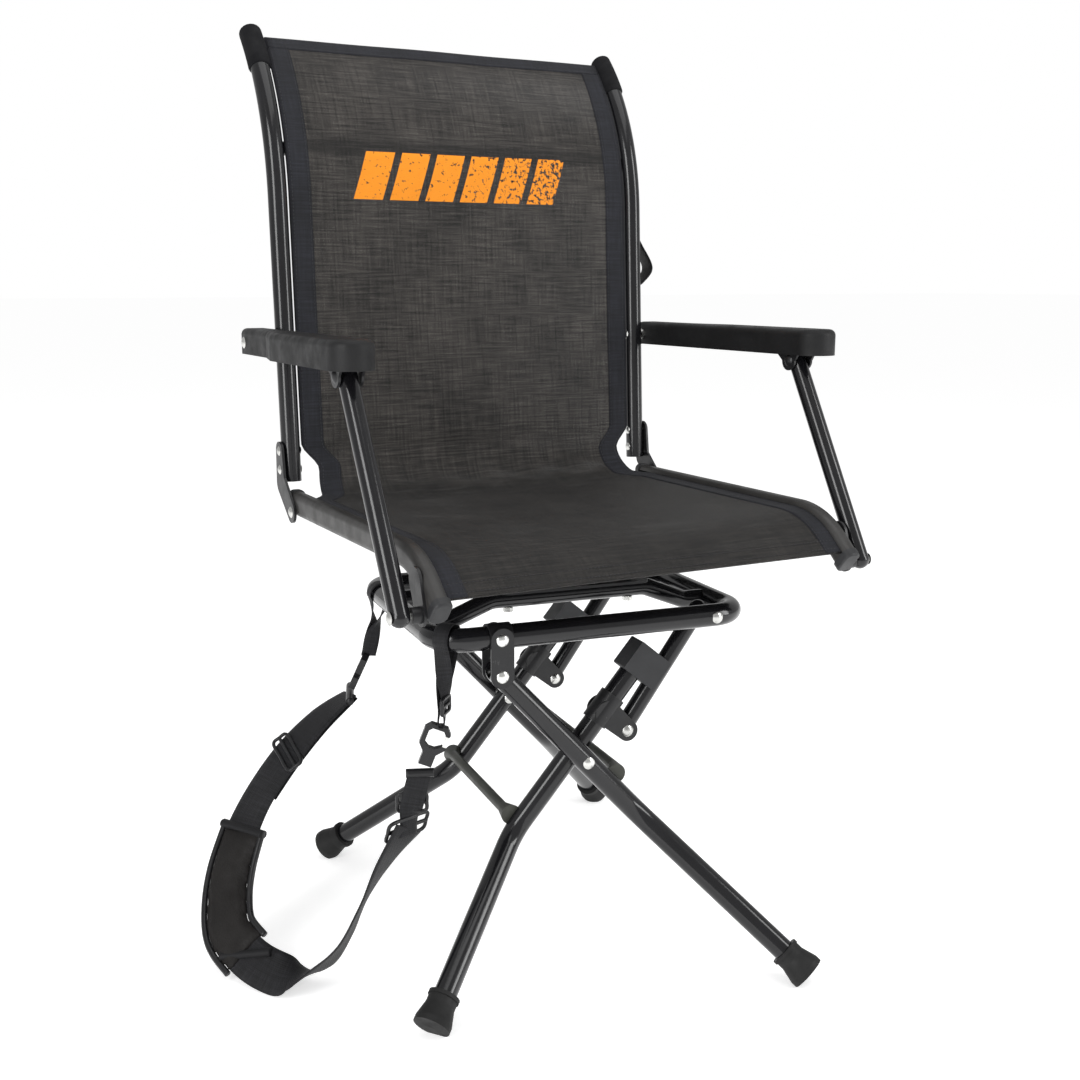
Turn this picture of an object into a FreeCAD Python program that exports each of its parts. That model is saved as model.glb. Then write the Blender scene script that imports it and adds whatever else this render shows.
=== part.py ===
"""Folding blind swivel chair: a mesh sling seat and back on a swivel, over a folding four-legged stand.

The seat faces -Y and the swivel axis is the Z axis. The stand is drawn square to the axes and then
turned by stand_turn, because the seat rests a few degrees round from it. Millimetres throughout.
"""
import FreeCAD
import Part
import math
import os
from FreeCAD import Vector as V

# ---- stand: ring, cross bars and swivel -------------------------------------------------------
stand_turn = -6.5            # degrees from the seat round to the stand
ring_height = 378.0          # middle of the ring tube
ring_half_x = 174.0
ring_half_y = 138.0
ring_corner = 34.0           # bend radius of the tube's centre line
ring_radius = 12.5
tube_wall = 1.3
cross_bar_radius = 10.0
cross_bar_y = 60.0           # both cross bars, before and behind the swivel axis
cross_bar_rise = 20.0        # the raised middle of the bar stands this far over the ring
cross_bar_flat = 92.0        # half length of the raised middle
plate_half = 88.0
plate_thickness = 3.0
plate_corner = 12.0
plate_bolt_x = 72.0
race_gap = 8.0               # between the two swivel plates
race_radius = 58.0           # ball circle
ball_radius = 3.6
ball_count = 24
swivel_bolt_radius = 5.0
swivel_bolt_head = 9.0
swivel_bolt_head_height = 3.0
swivel_nut_across = 16.0
swivel_nut_height = 8.0
swivel_bolt_clearance = 0.4  # under the head, so that the upper plate turns freely
cage_half_width = 7.0
cage_thickness = 2.0
cage_clearance = 0.1         # round each ball
plate_bolt_radius = 3.0
plate_bolt_head = 5.6
plate_bolt_head_height = 2.6
low_head_height = 2.2        # heads that stand in the gap between the swivel plates
nut_across = 10.0
nut_height = 4.5
cross_bar_bend = 30.0

# ---- legs -------------------------------------------------------------------------------------
leg_radius = 12.0
leg_plane_gap = 33.0         # the left-foot legs stand this far inside the right-foot legs
hinge_x = -112.0             # pivot of the right-foot legs under the ring
hinge_room = 12.0            # between the saddle bracket and the top of a leg's round end
leg_open_angle = 47.5        # below the horizontal
cross_distance = 146.0       # hinge to crossing bolt
leg_bend = 93.0              # crossing bolt to the bend, right-foot legs
inner_leg_bend = 110.0       # crossing bolt to the bend, left-foot legs
leg_bend_radius = 60.0
foot_y = 292.0               # right feet from the middle plane
inner_foot_y = 245.0         # left feet from the middle plane
inner_foot_x = -232.0
inner_leg_top = 138.0        # crossing bolt to the top end of a left-foot leg
leg_bar_radius = 6.0
leg_bar_flare = 11.0         # radius of the flared ends where they are welded
leg_bar_flare_length = 16.0
leg_bar_at = 42.0            # crossing bolt to the right-foot cross bar
inner_leg_bar_at = 96.0
leg_bar_gap = 0.6            # between a cross bar and a folded leg beside it
foot_radius = 19.5
foot_wall = 3.4
foot_length = 34.0
foot_bell = 16.0             # length of the cone between the sleeve and the flange
foot_flange = 6.0
foot_bead = 4.0
foot_bead_lip = 1.2
foot_floor = 6.0             # rubber under the end of the tube
foot_facet = 2.2             # depth that the flange is flattened where it stands
rivet_radius = 4.0
rivet_head = 6.6
rivet_head_height = 2.6
head_bed = 0.5               # a head beds this far into the round of a tube
pin_clearance = 0.06
plate_clearance = 0.5        # between a lug and the tube that turns inside it
bracket_thickness = 2.5
bracket_half = 12.5          # half width of the hinge bracket's straps
end_taper = 0.01             # keeps the sides of a round-ended plate off the tube's own surface

# ---- braces and their clips -------------------------------------------------------------------
brace_radius = 10.0
ear_along = 53.0             # crossing bolt to the ear pivot, along the leg
ear_out = 35.0               # and square to it
ear_radius = 11.7
brace_top_x = 138.0          # upper pivot, on the ring
collar_length = 36.0
collar_wall = 2.6
collar_offset = 4.0          # the collar's middle is this far beyond the ear's pin
collar_ear_root = 14.7       # half width of each ear where it leaves the collar
clip_overhang = 3.0          # of the clip beyond the end of the leg
clip_edge = 2.0
brace_plug = 9.0             # length of the solid plug in each end of a brace or strut
clip_length = 36.0
clip_back = 17.0             # from the leg's axis to the outside of the clip
clip_jaw = 6.0               # the clip's jaws end this far short of the brace's axis
clip_half_thickness = 14.0

# ---- seat -------------------------------------------------------------------------------------
rail_x = 240.0
rail_rise = 52.5             # rail_z over seat_tube_z
rail_height = 27.0
rail_width = 18.0
rail_wall = 1.5
rail_back_y = 172.0
rail_bend_y = -150.0
rail_bend_radius = 95.0
rail_bend_angle = 41.0
rail_nose = 22.0             # straight end after the bend
cap_length = 9.0
cap_lip = 1.4
cap_corner = 7.5
cap_rim = 2.5
rail_corner = 7.5            # rounding of the rail's long edges
seat_tube_radius = 9.0
seat_tube_y = 74.0
seat_tube_flat = 150.0
seat_tube_end_rise = 4.0     # the seat tube's end over the underside of the rail
seat_tube_bend = 45.0
sling_front_margin = 3.0     # the mesh stops this far short of each end of the rail
sling_rear_margin = 14.0
tab_half = 13.0              # half width of the strut tab on the rail, and round its pin
tab_nose = 11.0
tab_reach = (12.0, 30.0)     # from the pin back and up to the middle of the weld
tab_thickness = 3.0
tab_boss = 8.0
strut_head_gap = 0.3         # under the heads that keep a strut or an armrest on its pin
sling_thickness = 2.0
sling_above_rail_centre = 6.0
sling_in_slot = 5.0
back_sling_gap = 3.6         # between the edge of the back mesh and the rails, past the rivet heads
slot_clearance = 0.5

# ---- back -------------------------------------------------------------------------------------
back_hinge_set = -13.0       # back_hinge_y behind rail_back_y
back_hinge_rise = -8.5       # back_hinge_z over rail_z
back_rail_radius = 11.0
back_foot_set = 35.7         # back_foot_y behind back_hinge_y
back_foot_rise = 31.0        # back_foot_z over back_hinge_z
back_lean = 3.0              # degrees
back_bend_rise = 324.0       # back_bend_z over back_foot_z
back_bend_radius = 300.0
back_top_lean = 42.0
back_tube_rise = 381.0       # back_tube_z over back_foot_z
back_tube_radius = 8.0
hinge_plate_thickness = 3.0
sling_back_rise = 37.0       # sling_back_bottom over back_hinge_z
hinge_heel = 12.5            # half widths of the hinge plate at its pin, its knee and its top
hinge_knee = 14.0
hinge_toe = 11.0
hinge_knee_rise = 30.0       # hinge_knee_z over back_hinge_z
hinge_rivet_rise = (45.0, 67.0)
hinge_rivet_radius = 3.0
hinge_rivet_head = 5.5
hinge_rivet_height = 2.2
top_cap_wall = 1.0
top_cap_length = 7.0
top_cap_dome = 4.0
back_tube_gap = 1.5          # between the mesh and the tube behind it

# ---- arms -------------------------------------------------------------------------------------
arm_pivot_set = 10.3         # arm_pivot_y behind back_foot_y
arm_pivot_rise = 193.0       # arm_pivot_z over back_hinge_z
arm_front_y = -96.0          # strut pivot under the armrest
arm_front_rise = -20.0       # arm_front_z over arm_pivot_z
strut_foot_set = -66.0       # strut_foot_y behind rail_bend_y
strut_foot_rise = -33.0      # strut_foot_z over the underside of the rail
arm_set = 32.0               # arm_x outside rail_x
strut_radius = 10.0
arm_inner_set = -18.0        # arm_inner_x outside arm_x
arm_outer_set = 28.0         # arm_outer_x outside arm_x
arm_rear_outer_set = 14.0    # arm_rear_outer_x outside arm_x
arm_rear_set = 17.0          # arm_rear_y behind arm_pivot_y
arm_nose_y = -142.0
arm_crease_y = 120.0
arm_top_rise = 16.0          # arm_top_z over arm_pivot_z
arm_depth = 29.0
arm_shell = 3.2
arm_edge = 7.0
arm_rear_corner = 9.0
arm_nose_length = 24.0
arm_flare = 60.0             # the armrest widens over this length in front of its crease
arm_boss = 9.5
arm_washer = 7.5
bracket_front = 24.0         # the bracket's web reaches this far before and behind the strut's pivot
bracket_rear = 34.0
bracket_skirt = 14.0
bracket_nose = 11.0

# ---- straps -----------------------------------------------------------------------------------
loop_width = 25.0
loop_thickness = 2.4
loop_slack = 1.0             # between a loop and a straight tube inside it
corner_slack = 3.6           # the same where the tube bends inside the loop
strap_width = 48.0
strap_thickness = 3.0
buckle_margin = 8.0          # a buckle is this much wider than its strap
buckle_wall = 3.2
buckle_lift = 5.6            # from the middle of the webbing to the back of the buckle
pad_width = 62.0
pad_thickness = 14.0
carry_loop_rise = 256.0      # carry_loop_z over back_foot_z
carry_loop_outer = [(0, -30), (3, -30), (30, -8), (32, 4), (3, 30), (0, 30)]    # (back, up)
carry_loop_inner = [(0, -27), (2, -27), (27, -7), (29, 3), (2, 27), (0, 27)]

# ---- worked-out values ------------------------------------------------------------------------
X, Y, Z = V(1, 0, 0), V(0, 1, 0), V(0, 0, 1)
leg_plane = ring_half_y
inner_plane = leg_plane - leg_plane_gap
hinge_drop = ring_radius + bracket_thickness + leg_radius + hinge_room
hinge_z = ring_height - hinge_drop
open_angle = math.radians(leg_open_angle)
leg_down = (math.cos(open_angle), -math.sin(open_angle))
cross_x = hinge_x + cross_distance * leg_down[0]
cross_z = hinge_z + cross_distance * leg_down[1]
bar_z = ring_height + cross_bar_rise
plate_z = bar_z + cross_bar_radius
upper_plate_z = plate_z + plate_thickness + race_gap
seat_tube_z = upper_plate_z + plate_thickness + seat_tube_radius
back_rail_x = rail_x + rail_width / 2 - back_rail_radius
arm_x = rail_x + arm_set
arm_inner_x = arm_x + arm_inner_set
arm_outer_x = arm_x + arm_outer_set
arm_rear_outer_x = arm_x + arm_rear_outer_set
rail_z = seat_tube_z + rail_rise
seat_tube_end_z = rail_z - rail_height / 2 + seat_tube_end_rise
back_hinge_y = rail_back_y + back_hinge_set
back_hinge_z = rail_z + back_hinge_rise
back_foot_y = back_hinge_y + back_foot_set
back_foot_z = back_hinge_z + back_foot_rise
back_bend_z = back_foot_z + back_bend_rise
back_tube_z = back_foot_z + back_tube_rise
sling_back_bottom = back_hinge_z + sling_back_rise
hinge_knee_z = back_hinge_z + hinge_knee_rise
arm_pivot_y = back_foot_y + arm_pivot_set
arm_pivot_z = back_hinge_z + arm_pivot_rise
arm_rear_y = arm_pivot_y + arm_rear_set
arm_front_z = arm_pivot_z + arm_front_rise
arm_top_z = arm_pivot_z + arm_top_rise
strut_foot_y = rail_bend_y + strut_foot_set
strut_foot_z = rail_z - rail_height / 2 + strut_foot_rise
carry_loop_z = back_foot_z + carry_loop_rise
hinge_rivet_z = tuple(back_hinge_z + rise for rise in hinge_rivet_rise)
lug_half = leg_radius + plate_clearance
leg_bar_out = leg_radius + leg_bar_radius + leg_bar_gap
strut_inner_x = arm_x - strut_radius

# Folded flat, the brace lies along the ring from the ear to its upper pivot; that sets its length.
folded_ear_x = hinge_x + cross_distance - ear_along
folded_ear_z = hinge_z + ear_out
brace_length = math.hypot(brace_top_x - folded_ear_x, ring_height - folded_ear_z)
brace_folded = math.atan2(ring_height - folded_ear_z, brace_top_x - folded_ear_x)


def inner_leg_angle():
    """The open angle of the left-foot legs above the horizontal, where ear and brace meet."""
    to_top_x = brace_top_x - cross_x
    to_top_z = ring_height - cross_z
    reach = math.hypot(to_top_x, to_top_z)
    ear = math.hypot(ear_along, ear_out)
    corner = math.acos((ear ** 2 + reach ** 2 - brace_length ** 2) / (2 * ear * reach))
    return math.atan2(to_top_z, to_top_x) - corner + math.atan2(ear_out, ear_along)


inner_up = inner_leg_angle()
ear_x = cross_x + ear_along * math.cos(inner_up) + ear_out * math.sin(inner_up)
ear_z = cross_z + ear_along * math.sin(inner_up) - ear_out * math.cos(inner_up)
brace_open = math.atan2(ring_height - ear_z, brace_top_x - ear_x)

parts = {}
gates_made = []              # each snap hook's gate, with its pivot and the pivot's direction


# ---- drawing helpers --------------------------------------------------------------------------
def rod(start, end, radius):
    """A round bar from start to end."""
    run = end - start
    return Part.makeCylinder(radius, run.Length, start, run)


def tube(start, end, radius, wall):
    return rod(start, end, radius).cut(rod(start, end, radius - wall))


def round_ended_bar(start, end, radius, wall, plug):
    """A tube with a round end about each pivot, closed by a plug of the given length."""
    run = (end - start).normalize()
    body = rod(start, end, radius).fuse([Part.makeSphere(radius, start), Part.makeSphere(radius, end)])
    return body.removeSplitter().cut(rod(start + run * plug, end - run * plug, radius - wall))


def bent_line(points, radius, closed=False):
    """Straight runs joined by tangent arcs of one radius."""
    count = len(points)
    corners = range(count) if closed else range(1, count - 1)
    arcs = {}
    for i in corners:
        here = points[i]
        before = (points[i - 1] - here).normalize()
        after = (points[(i + 1) % count] - here).normalize()
        half = before.getAngle(after) / 2
        back = radius / math.tan(half)
        middle = (before + after).normalize()
        centre = here + middle * (radius / math.sin(half))
        arcs[i] = (here + before * back, centre - middle * radius, here + after * back)
    edges = []
    runs = range(count) if closed else range(count - 1)
    for i in runs:
        j = (i + 1) % count
        start = arcs[i][2] if i in arcs else points[i]
        end = arcs[j][0] if j in arcs else points[j]
        edges.append(Part.makeLine(start, end))
        if j in arcs:
            edges.append(Part.Arc(*arcs[j]).toShape())
    return Part.Wire(edges)


def sweep(line, radius):
    """A round bar along a bent line."""
    first = line.OrderedEdges[0]
    start = first.valueAt(first.FirstParameter)
    along = first.tangentAt(first.FirstParameter)
    ring = Part.Wire(Part.makeCircle(radius, start, along))
    return line.makePipeShell([ring], True, False)


def bent_tube(points, bend, radius, wall):
    line = bent_line(points, bend)
    return sweep(line, radius).cut(sweep(line, radius - wall))


def prism(outline, normal_axis, start, thickness):
    """A flat plate: outline points (a, b) in the plane square to normal_axis."""
    if normal_axis == "x":
        corners = [V(start, a, b) for a, b in outline]
        push = X * thickness
    elif normal_axis == "y":
        corners = [V(a, start, b) for a, b in outline]
        push = Y * thickness
    else:
        corners = [V(a, b, start) for a, b in outline]
        push = Z * thickness
    return Part.Face(Part.makePolygon(corners + corners[:1])).extrude(push)


def disc(centre, axis, radius, thickness):
    return Part.makeCylinder(radius, thickness, centre, axis)


def link_plate(ends, radii, axis, start, thickness):
    """A lug square to axis, with two round ends of their own radii and straight tangent sides."""
    (a, b), (r1, r2) = ends, radii
    gap = math.dist(a, b)
    base = math.atan2(b[1] - a[1], b[0] - a[0])
    lean = math.acos((r1 - r2) / gap)
    outline = []
    for centre, radius, side in ((a, r1, 1), (b, r2, 1), (b, r2, -1), (a, r1, -1)):
        turn = base + side * lean
        outline.append((centre[0] + radius * math.cos(turn), centre[1] + radius * math.sin(turn)))
    plate = prism(outline, axis, start, thickness)
    for centre, radius in ((a, r1), (b, r2)):
        if axis == "x":
            plate = plate.fuse(disc(V(start, *centre), X, radius, thickness))
        else:
            plate = plate.fuse(disc(V(centre[0], start, centre[1]), Y, radius, thickness))
    return plate.removeSplitter()


def rivet(start, end, radius=rivet_radius, head=rivet_head, height=rivet_head_height):
    """A pin from start to end with a domed head on each end."""
    run = (end - start).normalize()
    body = rod(start, end, radius)
    for seat, out in ((start, run * -1), (end, run)):
        body = body.fuse(dome(seat, out, head, height))
    return body


def dome(seat, out, radius, height):
    """A shallow domed head standing on a flat seat."""
    curve = (radius ** 2 + height ** 2) / (2 * height)
    ball = Part.makeSphere(curve, seat + out * (height - curve))
    keep = Part.makeCylinder(radius * 1.01, height * 1.1, seat, out)
    return ball.common(keep)


def hexagon(centre, axis, across, thickness):
    """A six-sided nut or bolt head across the flats."""
    corner = across / math.sqrt(3)
    side = axis.cross(X if abs(axis.z) > 0.5 else Z).normalize()
    other = axis.cross(side)
    points = []
    for k in range(6):
        turn = math.radians(60 * k)
        points.append(centre + side * (corner * math.cos(turn)) + other * (corner * math.sin(turn)))
    return Part.Face(Part.makePolygon(points + points[:1])).extrude(axis * thickness)


def mirror_y(shape):
    return shape.mirror(V(0, 0, 0), Y)


def mirror_x(shape):
    return shape.mirror(V(0, 0, 0), X)


def group(shapes):
    return Part.makeCompound(shapes)


def turned(shape):
    """The stand's pieces are drawn square to the axes and turned into place."""
    return shape.copy().rotate(V(0, 0, 0), Z, stand_turn)


def add(name, shape):
    parts[name] = shape


def add_stand(name, shape):
    parts[name] = turned(shape)


# ---- stand ------------------------------------------------------------------------------------
def ring_half():
    """The front half of the ring: one bent tube, with its ends at the middle of each side."""
    points = [
        V(-ring_half_x, 0, ring_height),
        V(-ring_half_x, -ring_half_y, ring_height),
        V(ring_half_x, -ring_half_y, ring_height),
        V(ring_half_x, 0, ring_height),
    ]
    half = bent_tube(points, ring_corner, ring_radius, tube_wall)
    for x in (hinge_x, brace_top_x):
        half = half.cut(rod(V(x, -ring_half_y - 30, ring_height), V(x, -ring_half_y + 30, ring_height),
                            rivet_radius))
    return half


def cross_bar(y):
    """A bar from side to side of the ring with a raised middle, coped onto the ring."""
    run = (ring_half_x - cross_bar_flat) * 0.62
    points = [
        V(-ring_half_x, y, ring_height),
        V(-cross_bar_flat - run, y, ring_height),
        V(-cross_bar_flat, y, bar_z),
        V(cross_bar_flat, y, bar_z),
        V(cross_bar_flat + run, y, ring_height),
        V(ring_half_x, y, ring_height),
    ]
    line = bent_line(points, cross_bar_bend)
    bar = sweep(line, cross_bar_radius).cut(sweep(line, cross_bar_radius - tube_wall))
    for side in (-1, 1):
        x = side * ring_half_x
        bar = bar.cut(rod(V(x, y - 40, ring_height), V(x, y + 40, ring_height), ring_radius))
    for x in (-plate_bolt_x, plate_bolt_x):
        bar = bar.cut(rod(V(x, y, bar_z - 20), V(x, y, bar_z + 20), plate_bolt_radius))
    solids = sorted(bar.Solids, key=lambda s: s.Volume)
    return solids[-1]


def swivel_plate(z):
    """A square pressed plate with rounded corners and a centre hole."""
    plate = Part.makeBox(2 * plate_half, 2 * plate_half, plate_thickness, V(-plate_half, -plate_half, z))
    upright = [e for e in plate.Edges if abs(e.tangentAt(e.FirstParameter).z) > 0.9]
    plate = plate.makeFillet(plate_corner, upright)
    plate = plate.cut(disc(V(0, 0, z - 1), Z, swivel_bolt_radius + pin_clearance, plate_thickness + 2))
    return plate


def plate_holes(plate, z, places):
    for x, y in places:
        plate = plate.cut(disc(V(x, y, z - 1), Z, plate_bolt_radius, plate_thickness + 2))
    return plate


def plate_bolts(places, head_z, foot_z):
    """Bolts down through a plate and a tube, each with a domed head above and a nut below."""
    bolts = []
    for x, y in places:
        shank = rod(V(x, y, head_z), V(x, y, foot_z), plate_bolt_radius)
        head = dome(V(x, y, head_z), Z, plate_bolt_head, plate_bolt_head_height)
        nut = hexagon(V(x, y, foot_z), Z, nut_across, nut_height)
        bolts.append(shank.fuse([head, nut]))
    return group(bolts)


def swivel():
    lower_places = [(sx * plate_bolt_x, sy * cross_bar_y) for sx in (-1, 1) for sy in (-1, 1)]
    lower = plate_holes(swivel_plate(plate_z), plate_z, lower_places)
    add_stand("swivel_lower_plate", lower)
    # the heads stay lower than the balls, so that the upper plate clears them
    under = bar_z - cross_bar_radius
    add_stand("swivel_lower_bolts", plate_bolts(lower_places, plate_z + plate_thickness,
                                                under - nut_height))
    race_z = plate_z + plate_thickness + race_gap / 2
    cage = disc(V(0, 0, race_z - cage_thickness / 2), Z, race_radius + cage_half_width, cage_thickness)
    middle = disc(V(0, 0, race_z - cage_thickness), Z, race_radius - cage_half_width, 2 * cage_thickness)
    cage = cage.cut(middle)
    balls = []
    for k in range(ball_count):
        turn = 2 * math.pi * k / ball_count
        centre = V(race_radius * math.cos(turn), race_radius * math.sin(turn), race_z)
        cage = cage.cut(Part.makeSphere(ball_radius + cage_clearance, centre))
        balls.append(Part.makeSphere(ball_radius, centre))
    add_stand("swivel_ball_race", group([cage] + balls))
    top = upper_plate_z + plate_thickness
    head_z = top + swivel_bolt_clearance
    bolt = rod(V(0, 0, plate_z - swivel_nut_height / 2), V(0, 0, head_z), swivel_bolt_radius)
    head = disc(V(0, 0, head_z), Z, swivel_bolt_head, swivel_bolt_head_height)
    nut = hexagon(V(0, 0, plate_z - swivel_nut_height), Z, swivel_nut_across, swivel_nut_height)
    add_stand("swivel_centre_bolt", bolt.fuse([head, nut]))


def hinge_bracket():
    """A strap folded over the front ring tube, with a lug each side of the leg."""
    outer = ring_radius + bracket_thickness
    y = -leg_plane
    saddle = rod(V(hinge_x - bracket_half, y, ring_height), V(hinge_x + bracket_half, y, ring_height), outer)
    lugs = []
    for start in (y - outer, y + outer - bracket_thickness):
        ends = ((hinge_x, ring_height), (hinge_x, hinge_z))
        lugs.append(link_plate(ends, (bracket_half, bracket_half - end_taper), "y", start, bracket_thickness))
    strap = saddle.fuse(lugs)
    strap = strap.cut(rod(V(hinge_x - 30, y, ring_height), V(hinge_x + 30, y, ring_height), ring_radius))
    below = Part.makeBox(60, 2 * ring_radius, 80, V(hinge_x - 30, y - ring_radius, ring_height - 80))
    strap = strap.cut(below)
    strap = strap.cut(rod(V(hinge_x, y - 30, hinge_z), V(hinge_x, y + 30, hinge_z), rivet_radius))
    strap = strap.cut(rod(V(hinge_x, y - 30, ring_height), V(hinge_x, y + 30, ring_height), rivet_radius))
    return strap


def stand():
    half = ring_half()
    add_stand("ring_front", half)
    add_stand("ring_rear", mirror_y(half))
    add_stand("cross_bar_front", cross_bar(-cross_bar_y))
    add_stand("cross_bar_rear", cross_bar(cross_bar_y))
    swivel()
    bracket = hinge_bracket()
    add_stand("leg_hinge_brackets", group([bracket, mirror_y(bracket)]))
    y = -leg_plane
    outer = ring_radius + bracket_thickness
    pins = []
    for z in (hinge_z, ring_height):
        pins.append(rivet(V(hinge_x, y - outer, z), V(hinge_x, y + outer, z)))
    add_stand("leg_hinge_pins", group(pins + [mirror_y(p) for p in pins]))
    top = V(brace_top_x, y, ring_height)
    inside = -inner_plane - brace_radius - plate_clearance
    bolt = rod(V(top.x, y - ring_radius, top.z), V(top.x, inside, top.z), rivet_radius)
    bolt = bolt.fuse(dome(V(top.x, y - ring_radius + head_bed, top.z), Y * -1, rivet_head, rivet_head_height))
    bed = y + ring_radius - head_bed
    sleeve = disc(V(top.x, bed, top.z), Y, rivet_head, inside - bed)
    bolt = bolt.fuse(sleeve.cut(rod(V(top.x - 40, y, top.z), V(top.x + 40, y, top.z), ring_radius)))
    bolt = bolt.cut(half)
    add_stand("brace_ring_bolts", group([bolt, mirror_y(bolt)]))


# ---- legs -------------------------------------------------------------------------------------
def leg_line(plane_y, top, bend_at, foot):
    """Centre line of a leg: its top end, its bend and the point where its axis meets the floor."""
    direction = (V(bend_at[0], plane_y, bend_at[1]), V(*foot))
    axis = (direction[1] - direction[0]).normalize()
    lean = math.sqrt(1 - axis.z ** 2)
    end_height = foot_radius * lean - foot_facet
    end = direction[1] - axis * (end_height / -axis.z)
    return [V(top[0], plane_y, top[1]), direction[0], end], axis


def leg_tube(line, axis):
    stop = line[2] - axis * foot_floor
    return bent_tube([line[0], line[1], stop], leg_bend_radius, leg_radius, tube_wall)


def foot(line, axis):
    """A rubber bell on the end of the leg, flattened where it stands."""
    end = line[2]
    collar = leg_radius + foot_wall
    shape = rod(end - axis * foot_length, end, collar)
    bell = end - axis * (foot_bell + foot_flange)
    shape = shape.fuse(Part.makeCone(collar, foot_radius, foot_bell, bell, axis))
    shape = shape.fuse(rod(end - axis * foot_flange, end, foot_radius))
    mouth = end - axis * foot_length
    shape = shape.fuse(rod(mouth, mouth + axis * foot_bead, collar + foot_bead_lip))
    shape = shape.cut(rod(end - axis * (foot_length + 1), end - axis * foot_floor, leg_radius))
    floor = Part.makeBox(200, 200, 60, V(end.x - 100, end.y - 100, -60))
    return shape.cut(floor).removeSplitter()


def cross_tube(half_length, x, z, toward):
    """A thin bar between two legs, with each end flared towards the leg that it is welded to."""
    bar = rod(V(x, -half_length, z), V(x, half_length, z), leg_bar_radius)
    drop = V(toward[0], 0, toward[1]) * (leg_bar_flare - leg_bar_radius)
    for side in (-1, 1):
        narrow = V(x, side * (half_length - leg_bar_flare_length), z)
        wide = V(x, side * half_length, z) + drop
        rings = [Part.Wire(Part.makeCircle(radius, centre, Y))
                 for radius, centre in ((leg_bar_radius, narrow), (leg_bar_flare, wide))]
        bar = bar.fuse(Part.makeLoft(rings, True, True))
    return bar


def outer_legs():
    """The legs that carry the two right feet, pinned under the left of the ring."""
    bend = (cross_x + leg_bend * leg_down[0], cross_z + leg_bend * leg_down[1])
    foot_x = cross_x + cross_z * leg_down[0] / -leg_down[1]
    line, axis = leg_line(-leg_plane, (hinge_x, hinge_z), bend, (foot_x, -foot_y, 0))
    line[0] = line[0] - V(leg_down[0], 0, leg_down[1]) * (leg_radius - 1)
    leg = leg_tube(line, axis)
    round_end = link_plate(((hinge_x, hinge_z), bend), (leg_radius - 1, leg_radius + 0.5), "y",
                           -leg_plane - 40, 80)
    side = V(leg_down[0], 0, leg_down[1])
    keep_from = V(cross_x, -leg_plane, cross_z)
    past = rod(keep_from, keep_from + side * 600, 300)    # everything beyond the crossing bolt
    leg = leg.common(round_end.fuse(past))
    reach = Y * 30
    hinge_at, cross_at = V(hinge_x, -leg_plane, hinge_z), V(cross_x, -leg_plane, cross_z)
    leg = leg.cut(rod(hinge_at - reach, hinge_at + reach, rivet_radius + pin_clearance))
    leg = leg.cut(rod(cross_at - reach, cross_at + reach, rivet_radius))
    leg = sorted(leg.Solids, key=lambda s: s.Volume)[-1]
    add_stand("outer_leg_front", leg)
    add_stand("outer_leg_rear", mirror_y(leg))
    shoe = foot(line, axis)
    add_stand("outer_foot_front", shoe)
    add_stand("outer_foot_rear", mirror_y(shoe))
    bar_x = cross_x + leg_bar_at * leg_down[0] - leg_bar_out * leg_down[1]
    bar_z_at = cross_z + leg_bar_at * leg_down[1] + leg_bar_out * leg_down[0]
    bar = cross_tube(leg_plane - 2, bar_x, bar_z_at, (leg_down[1], -leg_down[0]))
    bar = bar.cut([solid_leg(line), mirror_y(solid_leg(line))])
    add_stand("outer_leg_cross_bar", sorted(bar.Solids, key=lambda s: s.Volume)[-1])
    bolt = rivet(V(cross_x, -leg_plane - leg_radius + head_bed, cross_z),
                 V(cross_x, -inner_plane + leg_radius + strut_head_gap, cross_z))
    near, far = -leg_plane + leg_radius, -inner_plane - leg_radius
    spacer = disc(V(cross_x, near, cross_z), Y, rivet_head, far - near - strut_head_gap)
    spacer = spacer.cut(rod(V(cross_x, near - 5, cross_z), V(cross_x, far + 5, cross_z), rivet_radius))
    bolt = bolt.cut(leg)
    add_stand("leg_cross_bolts", group([bolt, spacer, mirror_y(bolt), mirror_y(spacer)]))


def solid_leg(line):
    """The leg as a solid bar, for coping what is welded to it."""
    return sweep(bent_line(line, leg_bend_radius), leg_radius)


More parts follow.
